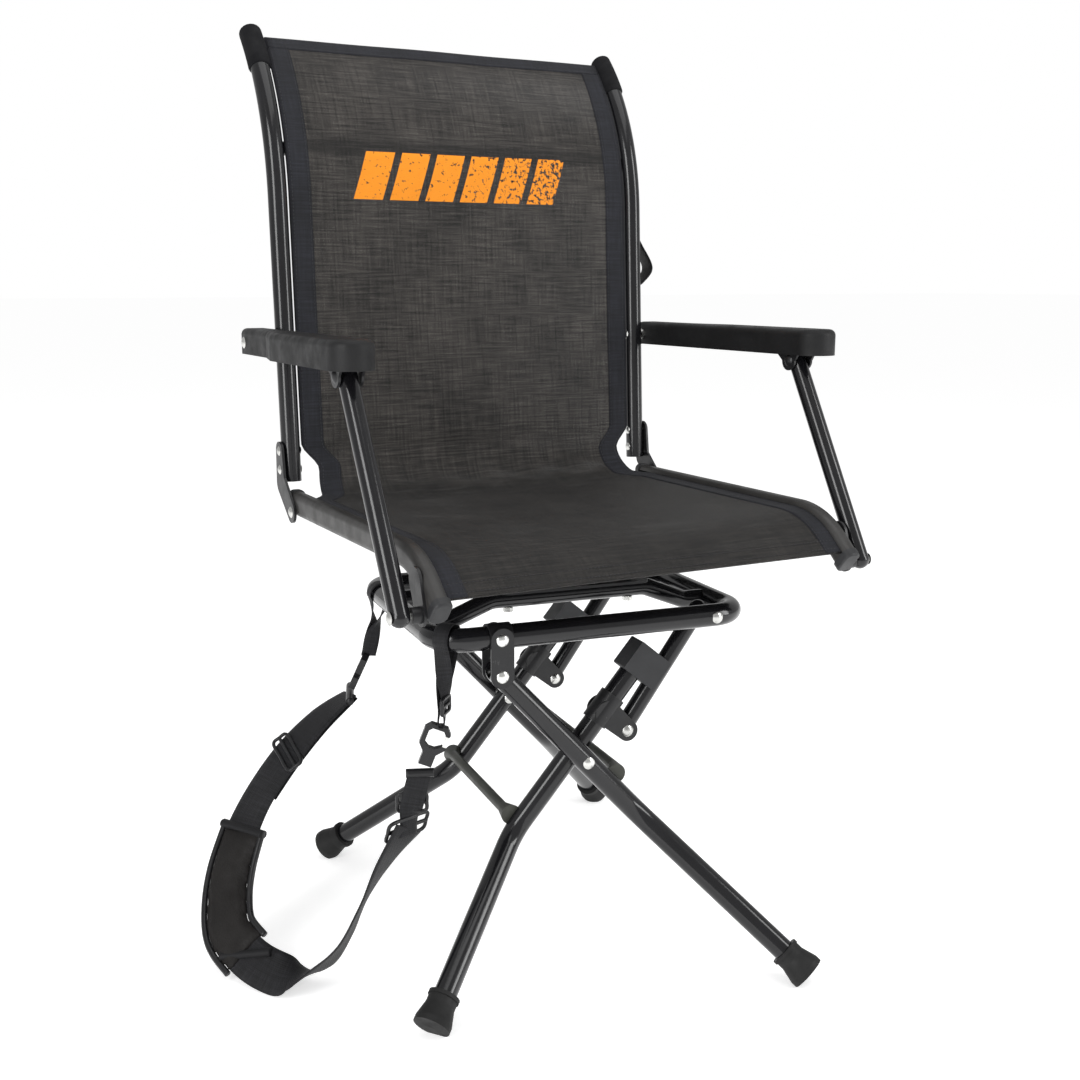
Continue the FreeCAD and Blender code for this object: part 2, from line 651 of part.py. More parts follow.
def inner_legs():
    """The legs that carry the two left feet, bolted to the others where they cross."""
    up = (math.cos(inner_up), math.sin(inner_up))
    out = (up[1], -up[0])

    def place(along, across):
        return (cross_x + along * up[0] + across * out[0], cross_z + along * up[1] + across * out[1])

    y = -inner_plane
    foot_at = (inner_foot_x, -inner_foot_y, 0)
    line, axis = leg_line(y, place(inner_leg_top, 0), place(-inner_leg_bend, 0), foot_at)
    leg = leg_tube(line, axis)
    leg = leg.cut(rod(V(cross_x, y - 30, cross_z), V(cross_x, y + 30, cross_z), rivet_radius + pin_clearance))
    add_stand("inner_leg_front", leg)
    add_stand("inner_leg_rear", mirror_y(leg))
    shoe = foot(line, axis)
    add_stand("inner_foot_front", shoe)
    add_stand("inner_foot_rear", mirror_y(shoe))
    bar_x, bar_z_at = place(-inner_leg_bar_at, -leg_bar_out)
    bar = cross_tube(inner_plane - 2, bar_x, bar_z_at, out)
    bar = bar.cut([solid_leg(line), mirror_y(solid_leg(line))])
    add_stand("inner_leg_cross_bar", sorted(bar.Solids, key=lambda s: s.Volume)[-1])

    # collar with two ears that hold the lower end of the brace
    middle = ear_along + collar_offset
    low, high = place(middle - collar_length / 2, 0), place(middle + collar_length / 2, 0)
    collar = rod(V(low[0], y, low[1]), V(high[0], y, high[1]), leg_radius + collar_wall)
    ear_gap = brace_radius + plate_clearance
    ears = []
    for start in (y - ear_gap - bracket_thickness, y + ear_gap):
        ends = (place(middle - 2, 2), place(ear_along, ear_out))
        ears.append(link_plate(ends, (collar_ear_root, ear_radius), "y", start, bracket_thickness))
    collar = collar.fuse(ears)
    bore = rod(V(place(0, 0)[0], y, place(0, 0)[1]), V(place(200, 0)[0], y, place(200, 0)[1]), leg_radius)
    collar = collar.cut(bore)
    collar = collar.cut(rod(V(ear_x, y - 30, ear_z), V(ear_x, y + 30, ear_z), rivet_radius))
    collar = sorted(collar.Solids, key=lambda s: s.Volume)[-1]
    add_stand("brace_collars", group([collar, mirror_y(collar)]))
    reach = Y * (ear_gap + bracket_thickness)
    pin = rivet(V(ear_x, y, ear_z) - reach, V(ear_x, y, ear_z) + reach)
    add_stand("collar_rivets", group([pin, mirror_y(pin)]))

    # plastic clip on the top end that the brace snaps into
    low, high = inner_leg_top - clip_length + clip_overhang, inner_leg_top + clip_overhang
    far = ear_out - clip_jaw
    outline = [place(low, -clip_back), place(high, -clip_back), place(high, far), place(low, far)]
    clip = prism(outline, "y", y - clip_half_thickness, 2 * clip_half_thickness)
    edges = [e for e in clip.Edges if abs(e.tangentAt(e.FirstParameter).y) > 0.9]
    clip = clip.makeFillet(clip_edge, edges)
    socket = rod(V(place(low - 5, 0)[0], y, place(low - 5, 0)[1]), V(line[0].x, y, line[0].z), leg_radius)
    ear_at = V(ear_x, y, ear_z)
    brace_way = V(math.cos(brace_open), 0, math.sin(brace_open))
    channel = rod(ear_at, ear_at + brace_way * 300, brace_radius + plate_clearance)
    clip = clip.cut([socket, channel])
    add_stand("brace_clips", group([clip, mirror_y(clip)]))


def braces():
    """The struts that hold the left-foot legs to the ring."""
    y = -inner_plane
    low, high = V(ear_x, y, ear_z), V(brace_top_x, y, ring_height)
    body = round_ended_bar(low, high, brace_radius, tube_wall, brace_plug)
    body = body.cut(rod(low - Y * 30, low + Y * 30, rivet_radius + pin_clearance))
    add_stand("brace_front", body)
    add_stand("brace_rear", mirror_y(body))


# ---- seat -------------------------------------------------------------------------------------
def rail_frame():
    """Where the rail's front bend ends, and the direction of the straight nose after it."""
    turn = math.radians(rail_bend_angle)
    centre = V(0, rail_bend_y, rail_z - rail_bend_radius)
    end = centre + V(0, -math.sin(turn), math.cos(turn)) * rail_bend_radius
    way = V(0, -math.cos(turn), -math.sin(turn))
    return end, way


def offset_band(inner, outer, x_from, x_to, nose, back_y):
    """A band that follows the rail between two heights over its centre line, from x_from to x_to."""
    turn = math.radians(rail_bend_angle)
    centre = V(x_from, rail_bend_y, rail_z - rail_bend_radius)

    def edge_points(height):
        reach = rail_bend_radius + height
        a = V(x_from, back_y, rail_z + height)
        b = centre + Z * reach
        c = centre + V(0, -math.sin(turn / 2), math.cos(turn / 2)) * reach
        d = centre + V(0, -math.sin(turn), math.cos(turn)) * reach
        e = d + V(0, -math.cos(turn), -math.sin(turn)) * nose
        return a, b, c, d, e

    a, b, c, d, e = edge_points(outer)
    edges = [Part.makeLine(a, b), Part.Arc(b, c, d).toShape(), Part.makeLine(d, e)]
    a2, b2, c2, d2, e2 = edge_points(inner)
    edges += [Part.makeLine(e, e2), Part.makeLine(e2, d2), Part.Arc(d2, c2, b2).toShape()]
    edges += [Part.makeLine(b2, a2), Part.makeLine(a2, a)]
    return Part.Face(Part.Wire(edges)).extrude(X * (x_to - x_from))


def rounded_band(half_height, x_from, x_to, nose, back_y, corner):
    """A band with its long edges rounded, as a drawn rail has."""
    band = offset_band(-half_height, half_height, x_from, x_to, nose, back_y)
    long_edges = []
    for edge in band.Edges:
        box = edge.BoundBox
        if box.XLength < 0.01 and edge.Length > nose * 0.8 and not is_end_edge(edge):
            long_edges.append(edge)
    return band.makeFillet(corner, long_edges)


def is_end_edge(edge):
    """An edge across the height of the rail, at one of its two ends."""
    start = edge.valueAt(edge.FirstParameter)
    tangent = edge.tangentAt(edge.FirstParameter)
    turn = math.radians(rail_bend_angle)
    at_back = abs(tangent.z) > 0.99
    nose_side = V(0, -math.sin(turn), math.cos(turn))
    straight = edge.Curve.TypeId == "Part::GeomLine"
    at_nose = straight and abs(tangent.dot(nose_side)) > 0.999 and start.y < rail_bend_y
    return at_back or at_nose


def sling_slot(x_from, x_to, grow):
    low = sling_above_rail_centre - sling_thickness / 2 - grow
    return offset_band(low, low + sling_thickness + 2 * grow, x_from, x_to, rail_nose + 1, rail_back_y + 1)


def seat_rail():
    """The right rail: a flat-oval tube with a slot along its inner face for the edge of the mesh."""
    inner, outer = rail_x - rail_width / 2, rail_x + rail_width / 2
    rail = rounded_band(rail_height / 2, inner, outer, rail_nose, rail_back_y, rail_corner)
    hollow = rounded_band(rail_height / 2 - rail_wall, inner + rail_wall, outer - rail_wall, rail_nose + 1,
                          rail_back_y + 1, rail_corner - rail_wall)
    rail = rail.cut(hollow)
    rail = rail.cut(sling_slot(inner - 1, inner + sling_in_slot + 1, slot_clearance))
    rail = rail.cut(rod(V(inner - 5, back_hinge_y, back_hinge_z), V(outer + 5, back_hinge_y, back_hinge_z),
                        rivet_radius))
    return sorted(rail.Solids, key=lambda s: s.Volume)[-1]


def end_cap(front):
    """A plastic plug over one end of the right rail, flush with its outer face."""
    inner, outer = rail_x - rail_width / 2 - cap_lip, rail_x + rail_width / 2
    tall = rail_height / 2 + cap_lip
    if front:
        end, way = rail_frame()
        at = V(rail_x, end.y, end.z) + way * rail_nose
    else:
        way = Y
        at = V(rail_x, rail_back_y, rail_z)
    side = V(0, -way.z, way.y)
    corners = []
    for u, w in ((-1, -1), (1, -1), (1, 1), (-1, 1)):
        x = inner if u < 0 else outer
        corners.append(V(x, at.y, at.z) + side * (w * tall))
    block = Part.Face(Part.makePolygon(corners + corners[:1])).extrude(way * cap_length)
    lengthwise = [e for e in block.Edges if abs(e.tangentAt(e.FirstParameter).dot(way)) > 0.99]
    block = block.makeFillet(cap_corner, lengthwise)
    rim = [e for e in block.Edges if (e.CenterOfMass - at).dot(way) > cap_length - 0.01]
    return block.makeFillet(cap_rim, rim)


def seat_tube(y):
    """A bar across under the seat that drops to the swivel plate."""
    end_x = rail_x - rail_width / 2
    points = [
        V(-end_x, y, seat_tube_end_z),
        V(-seat_tube_flat, y, seat_tube_z),
        V(seat_tube_flat, y, seat_tube_z),
        V(end_x, y, seat_tube_end_z),
    ]
    line = bent_line(points, seat_tube_bend)
    bar = sweep(line, seat_tube_radius).cut(sweep(line, seat_tube_radius - tube_wall))
    for side in (-1, 1):
        start = min(side * end_x, side * (end_x + 40))
        bar = bar.cut(Part.makeBox(40, 60, 80, V(start, y - 30, seat_tube_end_z - 40)))
    for x in (-plate_bolt_x, plate_bolt_x):
        bar = bar.cut(rod(V(x, y, seat_tube_z - 20), V(x, y, seat_tube_z + 20), plate_bolt_radius))
    return sorted(bar.Solids, key=lambda s: s.Volume)[-1]


def seat():
    rail = seat_rail()
    add("seat_rail_right", rail)
    add("seat_rail_left", mirror_x(rail))
    caps = [end_cap(True), end_cap(False)]
    add("rail_end_caps", group(caps + [mirror_x(c) for c in caps]))
    add("seat_tube_front", seat_tube(-seat_tube_y))
    add("seat_tube_rear", seat_tube(seat_tube_y))
    places = [(sx * plate_bolt_x, sy * seat_tube_y) for sx in (-1, 1) for sy in (-1, 1)]
    add("swivel_upper_plate", plate_holes(swivel_plate(upper_plate_z), upper_plate_z, places))
    bolts = []
    for x, y in places:
        top = seat_tube_z + seat_tube_radius
        sunk = seat_tube_radius - math.sqrt(seat_tube_radius ** 2 - plate_bolt_radius ** 2)
        shank = rod(V(x, y, upper_plate_z), V(x, y, top), plate_bolt_radius)
        low_head = dome(V(x, y, upper_plate_z), Z * -1, plate_bolt_head, low_head_height)
        nut = hexagon(V(x, y, top - sunk), Z, nut_across, nut_height)
        bolts.append(shank.fuse([low_head, nut]).cut([parts["seat_tube_front"], parts["seat_tube_rear"]]))
    add("swivel_upper_bolts", group(bolts))
    edge = rail_x - rail_width / 2 + sling_in_slot
    low = sling_above_rail_centre - sling_thickness / 2
    add("seat_sling", offset_band(low, low + sling_thickness, -edge, edge, rail_nose - sling_front_margin,
                                  rail_back_y - sling_rear_margin))
    pins = []
    outer = rail_x + rail_width / 2
    plate_out = outer + plate_clearance + hinge_plate_thickness
    inner = rail_x - rail_width / 2
    pins.append(rivet(V(inner, back_hinge_y, back_hinge_z), V(plate_out, back_hinge_y, back_hinge_z)))
    pins.append(rivet(V(outer, strut_foot_y, strut_foot_z),
                      V(arm_x + strut_radius + strut_head_gap, strut_foot_y, strut_foot_z)))
    add("seat_side_pins", group(pins + [mirror_x(p) for p in pins]))
    add("strut_tabs", strut_tabs())


def strut_tabs():
    """A plate welded outside each rail's bend that carries the foot of the strut."""
    outer = rail_x + rail_width / 2
    reach = strut_inner_x - plate_clearance - outer
    weld_at = (strut_foot_y + tab_reach[0], strut_foot_z + tab_reach[1])
    tab = link_plate((weld_at, (strut_foot_y, strut_foot_z)), (tab_half, tab_nose), "x", outer, tab_thickness)
    boss = disc(V(outer, strut_foot_y, strut_foot_z), X, tab_boss, reach)
    pin_at = V(outer, strut_foot_y, strut_foot_z)
    tab = tab.fuse(boss).cut(rod(pin_at - X * 5, pin_at + X * 60, rivet_radius))
    return group([tab, mirror_x(tab)])


# ---- back -------------------------------------------------------------------------------------
def back_points():
    """Centre line of a back rail in its own plane: foot, start and middle of the bend, and top."""
    lean, top = math.radians(back_lean), math.radians(back_top_lean)
    rise = back_bend_z - back_foot_z
    start = V(0, back_foot_y + rise * math.tan(lean), back_bend_z)
    centre = start + V(0, math.cos(lean), -math.sin(lean)) * back_bend_radius
    half = (lean + top) / 2
    middle = centre + V(0, -math.cos(half), math.sin(half)) * back_bend_radius
    end = centre + V(0, -math.cos(top), math.sin(top)) * back_bend_radius
    return V(0, back_foot_y, back_foot_z), start, middle, end, centre


def back_rail_line(x):
    foot_at, start, middle, end, centre = back_points()
    shift = X * x
    return Part.Wire([Part.makeLine(foot_at + shift, start + shift),
                      Part.Arc(start + shift, middle + shift, end + shift).toShape()])


def back_y_at(z):
    """Where the back rail's centre line stands at a height."""
    foot_at, start, middle, end, centre = back_points()
    if z <= start.z:
        return foot_at.y + (z - foot_at.z) * math.tan(math.radians(back_lean))
    return centre.y - math.sqrt(back_bend_radius ** 2 - (z - centre.z) ** 2)


def back_sling():
    """The back mesh as a plain sheet between the rails, on their centre line."""
    foot_at, start, middle, end, centre = back_points()
    edge = back_rail_x - back_rail_radius - back_sling_gap
    half = sling_thickness / 2
    lean = math.radians(back_lean)
    normal = V(0, math.cos(lean), -math.sin(lean))
    low = V(0, back_y_at(sling_back_bottom), sling_back_bottom)
    rows = []
    for side in (-half, half):
        reach = back_bend_radius - side
        bend = [centre + (point - centre).normalize() * reach for point in (middle, end)]
        rows.append((low + normal * side, start + normal * side, *bend))
    shift = X * -edge
    (a, b, c, d), (a2, b2, c2, d2) = [[p + shift for p in row] for row in rows]
    edges = [Part.makeLine(a, b), Part.Arc(b, c, d).toShape(), Part.makeLine(d, d2)]
    edges += [Part.Arc(d2, c2, b2).toShape(), Part.makeLine(b2, a2), Part.makeLine(a2, a)]
    return Part.Face(Part.Wire(edges)).extrude(X * (2 * edge))


def hinge_plate():
    """The stamped plate riveted to the foot of the right back rail and pinned to the seat rail."""
    outer = rail_x + rail_width / 2 + plate_clearance
    heel = (back_hinge_y, back_hinge_z)
    low = (back_y_at(hinge_knee_z), hinge_knee_z)
    top = (back_y_at(hinge_rivet_z[-1]), hinge_rivet_z[-1])
    plate = link_plate((heel, low), (hinge_heel, hinge_knee), "x", outer, hinge_plate_thickness)
    plate = plate.fuse(link_plate((low, top), (hinge_knee, hinge_toe), "x", outer, hinge_plate_thickness))
    plate = plate.removeSplitter()
    plate = plate.cut(rod(V(outer - 5, *heel), V(outer + 10, *heel), rivet_radius + pin_clearance))
    for z in hinge_rivet_z:
        hole = rod(V(outer - 5, back_y_at(z), z), V(outer + 10, back_y_at(z), z), hinge_rivet_radius)
        plate = plate.cut(hole)
    return plate


def back():
    rail = sweep(back_rail_line(back_rail_x), back_rail_radius)
    rail = rail.cut(sweep(back_rail_line(back_rail_x), back_rail_radius - tube_wall))
    arm_y = arm_pivot_y
    outer_face = back_rail_x + back_rail_radius
    holes = [(back_y_at(z), z, hinge_rivet_radius) for z in hinge_rivet_z]
    holes.append((arm_y, arm_pivot_z, rivet_radius))
    for y, z, radius in holes:
        rail = rail.cut(rod(V(back_rail_x - 20, y, z), V(back_rail_x + 20, y, z), radius))
    add("back_rail_right", rail)
    add("back_rail_left", mirror_x(rail))
    tube_y = back_y_at(back_tube_z) + sling_thickness / 2 + back_tube_radius + back_tube_gap
    start, end = V(-back_rail_x, tube_y, back_tube_z), V(back_rail_x, tube_y, back_tube_z)
    bar = tube(start, end, back_tube_radius, tube_wall)
    solid_rail = sweep(back_rail_line(back_rail_x), back_rail_radius)
    bar = bar.cut([solid_rail, mirror_x(solid_rail)])
    add("back_cross_tube", sorted(bar.Solids, key=lambda s: s.Volume)[-1])
    add("back_sling", back_sling())
    plate = hinge_plate()
    add("hinge_plate_right", plate)
    add("hinge_plate_left", mirror_x(plate))
    plate_out = rail_x + rail_width / 2 + plate_clearance + hinge_plate_thickness
    rivets = []
    inner_face = back_rail_x - back_rail_radius + head_bed
    for z in hinge_rivet_z:
        y = back_y_at(z)
        pin = rivet(V(inner_face, y, z), V(plate_out, y, z), hinge_rivet_radius, hinge_rivet_head,
                    hinge_rivet_height)
        rivets.append(pin.cut(rail))
    add("hinge_rivets", group(rivets + [mirror_x(r) for r in rivets]))
    pin = rivet(V(inner_face, arm_y, arm_pivot_z), V(arm_rear_outer_x + strut_head_gap, arm_y, arm_pivot_z))
    pin = pin.cut(rail)
    washer_from = outer_face - head_bed
    washer_length = arm_inner_x - strut_head_gap - washer_from
    washer = disc(V(washer_from, arm_y, arm_pivot_z), X, arm_washer, washer_length)
    washer = washer.cut(rod(V(outer_face - 5, arm_y, arm_pivot_z), V(arm_inner_x + 5, arm_y, arm_pivot_z),
                            rivet_radius))
    washer = washer.cut(solid_rail)
    add("arm_pivot_pins", group([pin, washer, mirror_x(pin), mirror_x(washer)]))
    top = back_points()[3]
    way = V(0, math.sin(math.radians(back_top_lean)), math.cos(math.radians(back_top_lean)))
    at = V(back_rail_x, top.y, top.z)
    cap_radius = back_rail_radius + top_cap_wall
    crown = at + way * top_cap_length
    cap = rod(at, crown, cap_radius).fuse(dome(crown, way, cap_radius, top_cap_dome))
    add("back_top_caps", group([cap, mirror_x(cap)]))
    add("carry_loop", carry_loop())


def carry_loop():
    """A webbing loop sewn behind the right back rail, clear of the armrest's swing."""
    x = back_rail_x - loop_width / 2
    rear = back_y_at(carry_loop_z + carry_loop_outer[-1][1]) + back_rail_radius + slot_clearance
    outline = [V(x, rear + a, carry_loop_z + b) for a, b in carry_loop_outer + carry_loop_inner[::-1]]
    return Part.Face(Part.makePolygon(outline + outline[:1])).extrude(X * loop_width)


# ---- arms -------------------------------------------------------------------------------------
def arm_outline(inset):
    """Plan of the right armrest: narrow behind the crease, wide and round at the nose."""
    i, o, r = arm_inner_x + inset, arm_outer_x - inset, arm_rear_outer_x - inset
    back_y, nose_y = arm_rear_y - inset, arm_nose_y + inset
    points = [V(i, back_y, 0), V(r, back_y, 0), V(r, arm_crease_y, 0), V(o, arm_crease_y - arm_flare, 0)]
    nose_start = nose_y + arm_nose_length
    points.append(V(o, nose_start, 0))
    edges = [Part.makeLine(points[k], points[k + 1]) for k in range(4)]
    middle = V((i + o) / 2, nose_y, 0)
    edges.append(Part.Arc(V(o, nose_start, 0), middle, V(i, nose_start, 0)).toShape())
    edges.append(Part.makeLine(V(i, nose_start, 0), V(i, back_y, 0)))
    return Part.Face(Part.Wire(edges))


def armrest():
    """The right armrest: a moulded shell, open below, with a boss round each pivot."""
    low = arm_top_z - arm_depth
    shape = arm_outline(0)
    shape.translate(V(0, 0, low))
    body = shape.extrude(Z * arm_depth)
    upright = [e for e in body.Edges if abs(e.tangentAt(e.FirstParameter).z) > 0.9
               and abs(e.CenterOfMass.y - arm_rear_y) < 1]
    body = body.makeFillet(arm_rear_corner, upright)
    rim = [e for e in body.Edges if e.BoundBox.ZMin > arm_top_z - 0.01]
    body = body.makeFillet(arm_edge, rim)
    hollow = arm_outline(arm_shell)
    hollow.translate(V(0, 0, low - 1))
    body = body.cut(hollow.extrude(Z * (arm_depth + 1 - arm_shell)))
    pivot = V(arm_inner_x, arm_pivot_y, arm_pivot_z)
    body = body.fuse(disc(pivot, X, arm_boss, arm_rear_outer_x - arm_inner_x))
    body = body.cut(rod(pivot - X * 5, pivot + X * 60, rivet_radius + pin_clearance))
    return body.removeSplitter()


def arm_bracket():
    """The steel channel under the front of the right armrest that takes the top of the strut."""
    top = arm_top_z - arm_shell
    gap = strut_radius + plate_clearance
    front, rear = arm_front_y - bracket_front, arm_front_y + bracket_rear
    outline = [(front, top - bracket_skirt), (front, top), (rear, top), (rear, top - bracket_skirt),
               (arm_front_y + bracket_nose, arm_front_z), (arm_front_y - bracket_nose, arm_front_z)]
    inner, outer = arm_x - gap - bracket_thickness, arm_x + gap + bracket_thickness
    web_at = V(inner, front, top - bracket_thickness)
    body = Part.makeBox(outer - inner, rear - front, bracket_thickness, web_at)
    for start in (inner, arm_x + gap):
        cheek = prism(outline, "x", start, bracket_thickness)
        eye = disc(V(start, arm_front_y, arm_front_z), X, bracket_nose, bracket_thickness)
        body = body.fuse([cheek, eye])
    for way, face in ((X * -1, inner), (X, outer)):
        body = body.fuse(dome(V(face, arm_front_y, arm_front_z), way, rivet_head, rivet_head_height))
    return body.removeSplitter()


def strut():
    """The right strut, from the tab on the seat rail up into the armrest's bracket."""
    low = V(arm_x, strut_foot_y, strut_foot_z)
    high = V(arm_x, arm_front_y, arm_front_z)
    body = round_ended_bar(low, high, strut_radius, tube_wall, brace_plug)
    return body.cut(rod(low - X * 30, low + X * 30, rivet_radius + pin_clearance))


def arms():
    rest = armrest()
    add("armrest_right", rest)
    add("armrest_left", mirror_x(rest))
    bracket = arm_bracket()
    add("arm_bracket_right", bracket)
    add("arm_bracket_left", mirror_x(bracket))
    support = strut()
    add("arm_strut_right", support)
    add("arm_strut_left", mirror_x(support))


# ---- shoulder strap ---------------------------------------------------------------------------
# Its route is chosen by hand: from the hook at the back of the ring's left side, out and down
# round the pad, and up to the hook at the ring's front left corner. (x, y, z) in the stand's frame.
strap_route = [(-212, 108, 250), (-250, 100, 232), (-290, 88, 199), (-325, 74, 162), (-352, 56, 125)]
pad_route = [(-362, 46, 104), (-378, 24, 78), (-384, 0, 54), (-378, -28, 38), (-362, -56, 27)]
strap_rise = [(-352, -70, 22), (-328, -90, 16), (-300, -104, 26), (-276, -112, 56), (-256, -118, 100),
              (-232, -122, 144), (-207, -124, 176)]
strap_tail = [(-206, -125, 186), (-203, -127, 206), (-199, -129, 224), (-196, -130, 237)]


def ribbon(points, across, width, thickness):
    """A flat band through the points, its width along the direction that goes with each point."""
    sections = []
    for k, here in enumerate(points):
        before = points[max(k - 1, 0)]
        after = points[min(k + 1, len(points) - 1)]
        along = (after - before).normalize()
        side = (across[k] - along * across[k].dot(along)).normalize()
        face = along.cross(side).normalize()
        corners = []
        for u, w in ((-1, -1), (1, -1), (1, 1), (-1, 1)):
            corners.append(here + side * (u * width / 2) + face * (w * thickness / 2))
        sections.append(Part.makePolygon(corners + corners[:1]))
    return Part.makeLoft(sections, True, True)


def blend_directions(first, last, count):
    return [first * (1 - k / (count - 1)) + last * (k / (count - 1)) for k in range(count)]


def hanging_loop(top, along_tube, bottom, reach):
    """A narrow webbing loop round the ring tube, its two legs sewn together at the bottom."""
    across = along_tube.normalize()
    side = across.cross(Z).normalize()
    half = across * (loop_width / 2)
    ring_outer = rod(top - half, top + half, reach + loop_thickness)
    ring_inner = rod(top - half * 2, top + half * 2, reach)
    legs = []
    for sign in (-1, 1):
        start = top + side * (sign * (reach + loop_thickness / 2))
        end = bottom + side * (sign * loop_thickness * 0.65)
        legs.append(ribbon([start, end], [across, across], loop_width, loop_thickness).cut(ring_inner))
    return ring_outer.cut(ring_inner).fuse(legs)


# The snap hook in its own plane: (along from the eye, across).
hook_outer = [(0, -9), (6, -14), (24, -14), (32, -7), (46, -7), (46, 7), (32, 7), (24, 14), (6, 14), (0, 9)]
hook_inner = [(4.5, -6), (8, -9), (22, -9), (26, -3), (26, 3), (22, 9), (8, 9), (4.5, 6)]
hook_mouth = [(8.5, 8.5), (21.5, 8.5), (21.5, 20), (8.5, 20)]
hook_gate = [(9.0, 9.8), (20.6, 9.8), (20.6, 13.2), (9.0, 13.2)]
hook_pivot = (19.6, 11.5)
hook_thickness = 8.0


def snap_hook(top, bottom, across):
    """A flat D-shaped hook body with its strap bar; the gate closes the side."""
    way = (bottom - top).normalize()
    side = (across - way * across.dot(way)).normalize()
    face = way.cross(side)

    def at(place):
        return top + way * place[0] + side * place[1] - face * (hook_thickness / 2)

    def slab(outline):
        corners = [at(place) for place in outline]
        return Part.Face(Part.makePolygon(corners + corners[:1])).extrude(face * hook_thickness)

    pivot = top + way * hook_pivot[0] + side * hook_pivot[1]
    return slab(hook_outer).cut([slab(hook_inner), slab(hook_mouth)]), slab(hook_gate), pivot, face


def frame_buckle(centre, across, up, width, height, lift):
    """A flat wire buckle, a rectangle with one middle bar, lifted off the webbing that it lies on."""
    side = across.normalize()
    rise = (up - side * up.dot(side)).normalize()
    face = side.cross(rise)
    bed = centre + face * lift

    def window(half_w, low, high):
        places = ((-half_w, low), (half_w, low), (half_w, high), (-half_w, high))
        corners = [bed + side * u + rise * w for u, w in places]
        return Part.Face(Part.makePolygon(corners + corners[:1])).extrude(face * buckle_wall)

    body = window(width / 2, -height / 2, height / 2)
    inner = height / 2 - buckle_wall
    for low, high in ((-inner, -buckle_wall / 2), (buckle_wall / 2, inner)):
        body = body.cut(window(width / 2 - buckle_wall, low, high))
    return body


def shoulder_strap():
    side_way = V(0.25, 0.97, 0.05)
    front_way = V(0.96, -0.26, 0.0)
    route = [V(*p) for p in strap_route]
    pad = [V(*p) for p in pad_route]
    rise = [V(*p) for p in strap_rise]
    down = ribbon(route, [side_way] * len(route), strap_width, strap_thickness)
    through = ribbon(pad, [side_way] * len(pad), pad_width, pad_thickness)
    up = ribbon(rise, blend_directions(side_way, front_way, len(rise)), strap_width, strap_thickness)
    rear_top = V(-ring_half_x, 92, ring_height)
    rear_loop = hanging_loop(rear_top, Y, V(-188, 100, 312), ring_radius + loop_slack)
    corner = V(ring_corner - ring_half_x, ring_corner - ring_half_y, ring_height)
    front_top = corner + V(-1, -1, 0).normalize() * (ring_corner - loop_slack)
    front_loop = hanging_loop(front_top, V(1, -1, 0), V(-168, -ring_half_y - 2, 322), ring_radius + corner_slack)
    add_stand("strap_loops", group([rear_loop, front_loop]))
    tail = ribbon([V(*p) for p in strap_tail], [front_way] * len(strap_tail), loop_width, strap_thickness)
    add_stand("strap_webbing", group([down, up, tail]))
    add_stand("strap_pad", through)
    hooks = []
    gates = []
    for top, bottom, across in (
        (V(-190, 101, 306), V(-209, 108, 262), V(0.35, 0.93, 0)),
        (V(-176, -ring_half_y - 2, 292), V(-194, -130, 240), V(0.93, -0.3, 0.0)),
    ):
        hook, gate, pivot, pivot_axis = snap_hook(top, bottom, across)
        hooks.append(hook)
        gates.append((gate, pivot, pivot_axis))
    add_stand("snap_hooks", group(hooks))
    add_stand("snap_gate_rear", gates[0][0])
    add_stand("snap_gate_front", gates[1][0])
    wide = strap_width + buckle_margin
    rings = [
        frame_buckle(V(-293, 87, 202), side_way, route[3] - route[2], wide, 30, buckle_lift),
        frame_buckle(V(-207, -124, 180), front_way, rise[6] - rise[5], wide, 26, buckle_lift),
        frame_buckle(V(-171, -ring_half_y - 2, 308), X, Z, loop_width + buckle_margin, 22, buckle_lift),
    ]
    add_stand("strap_buckles", group(rings))
    return gates


def main():
    stand()
    outer_legs()
    inner_legs()
    braces()
    seat()
    back()
    arms()
    gates_made.extend(shoulder_strap())
    os.makedirs("parts", exist_ok=True)
    for name, shape in parts.items():
        shape.exportStep("parts/" + name + ".step")


main()
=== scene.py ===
# %% [markdown]
# # A folding swivel chair, dressed around its CAD frame
# The imported CAD model already holds every tube, bracket, pin and joint. This script adds what CAD
# leaves plain: one sewn sling of coated mesh, its hems and stitches, a webbing shoulder strap with
# its pad and hooks, and a finish for every surface, moulded plastic on the armrests. Everything is
# in metres and in the frame's own coordinates: the seat faces -Y, +Z is up, and the swivel axis is
# the Z axis.

# %% Load the frame
import math
import bmesh
import bpy
from mathutils import Matrix, Vector


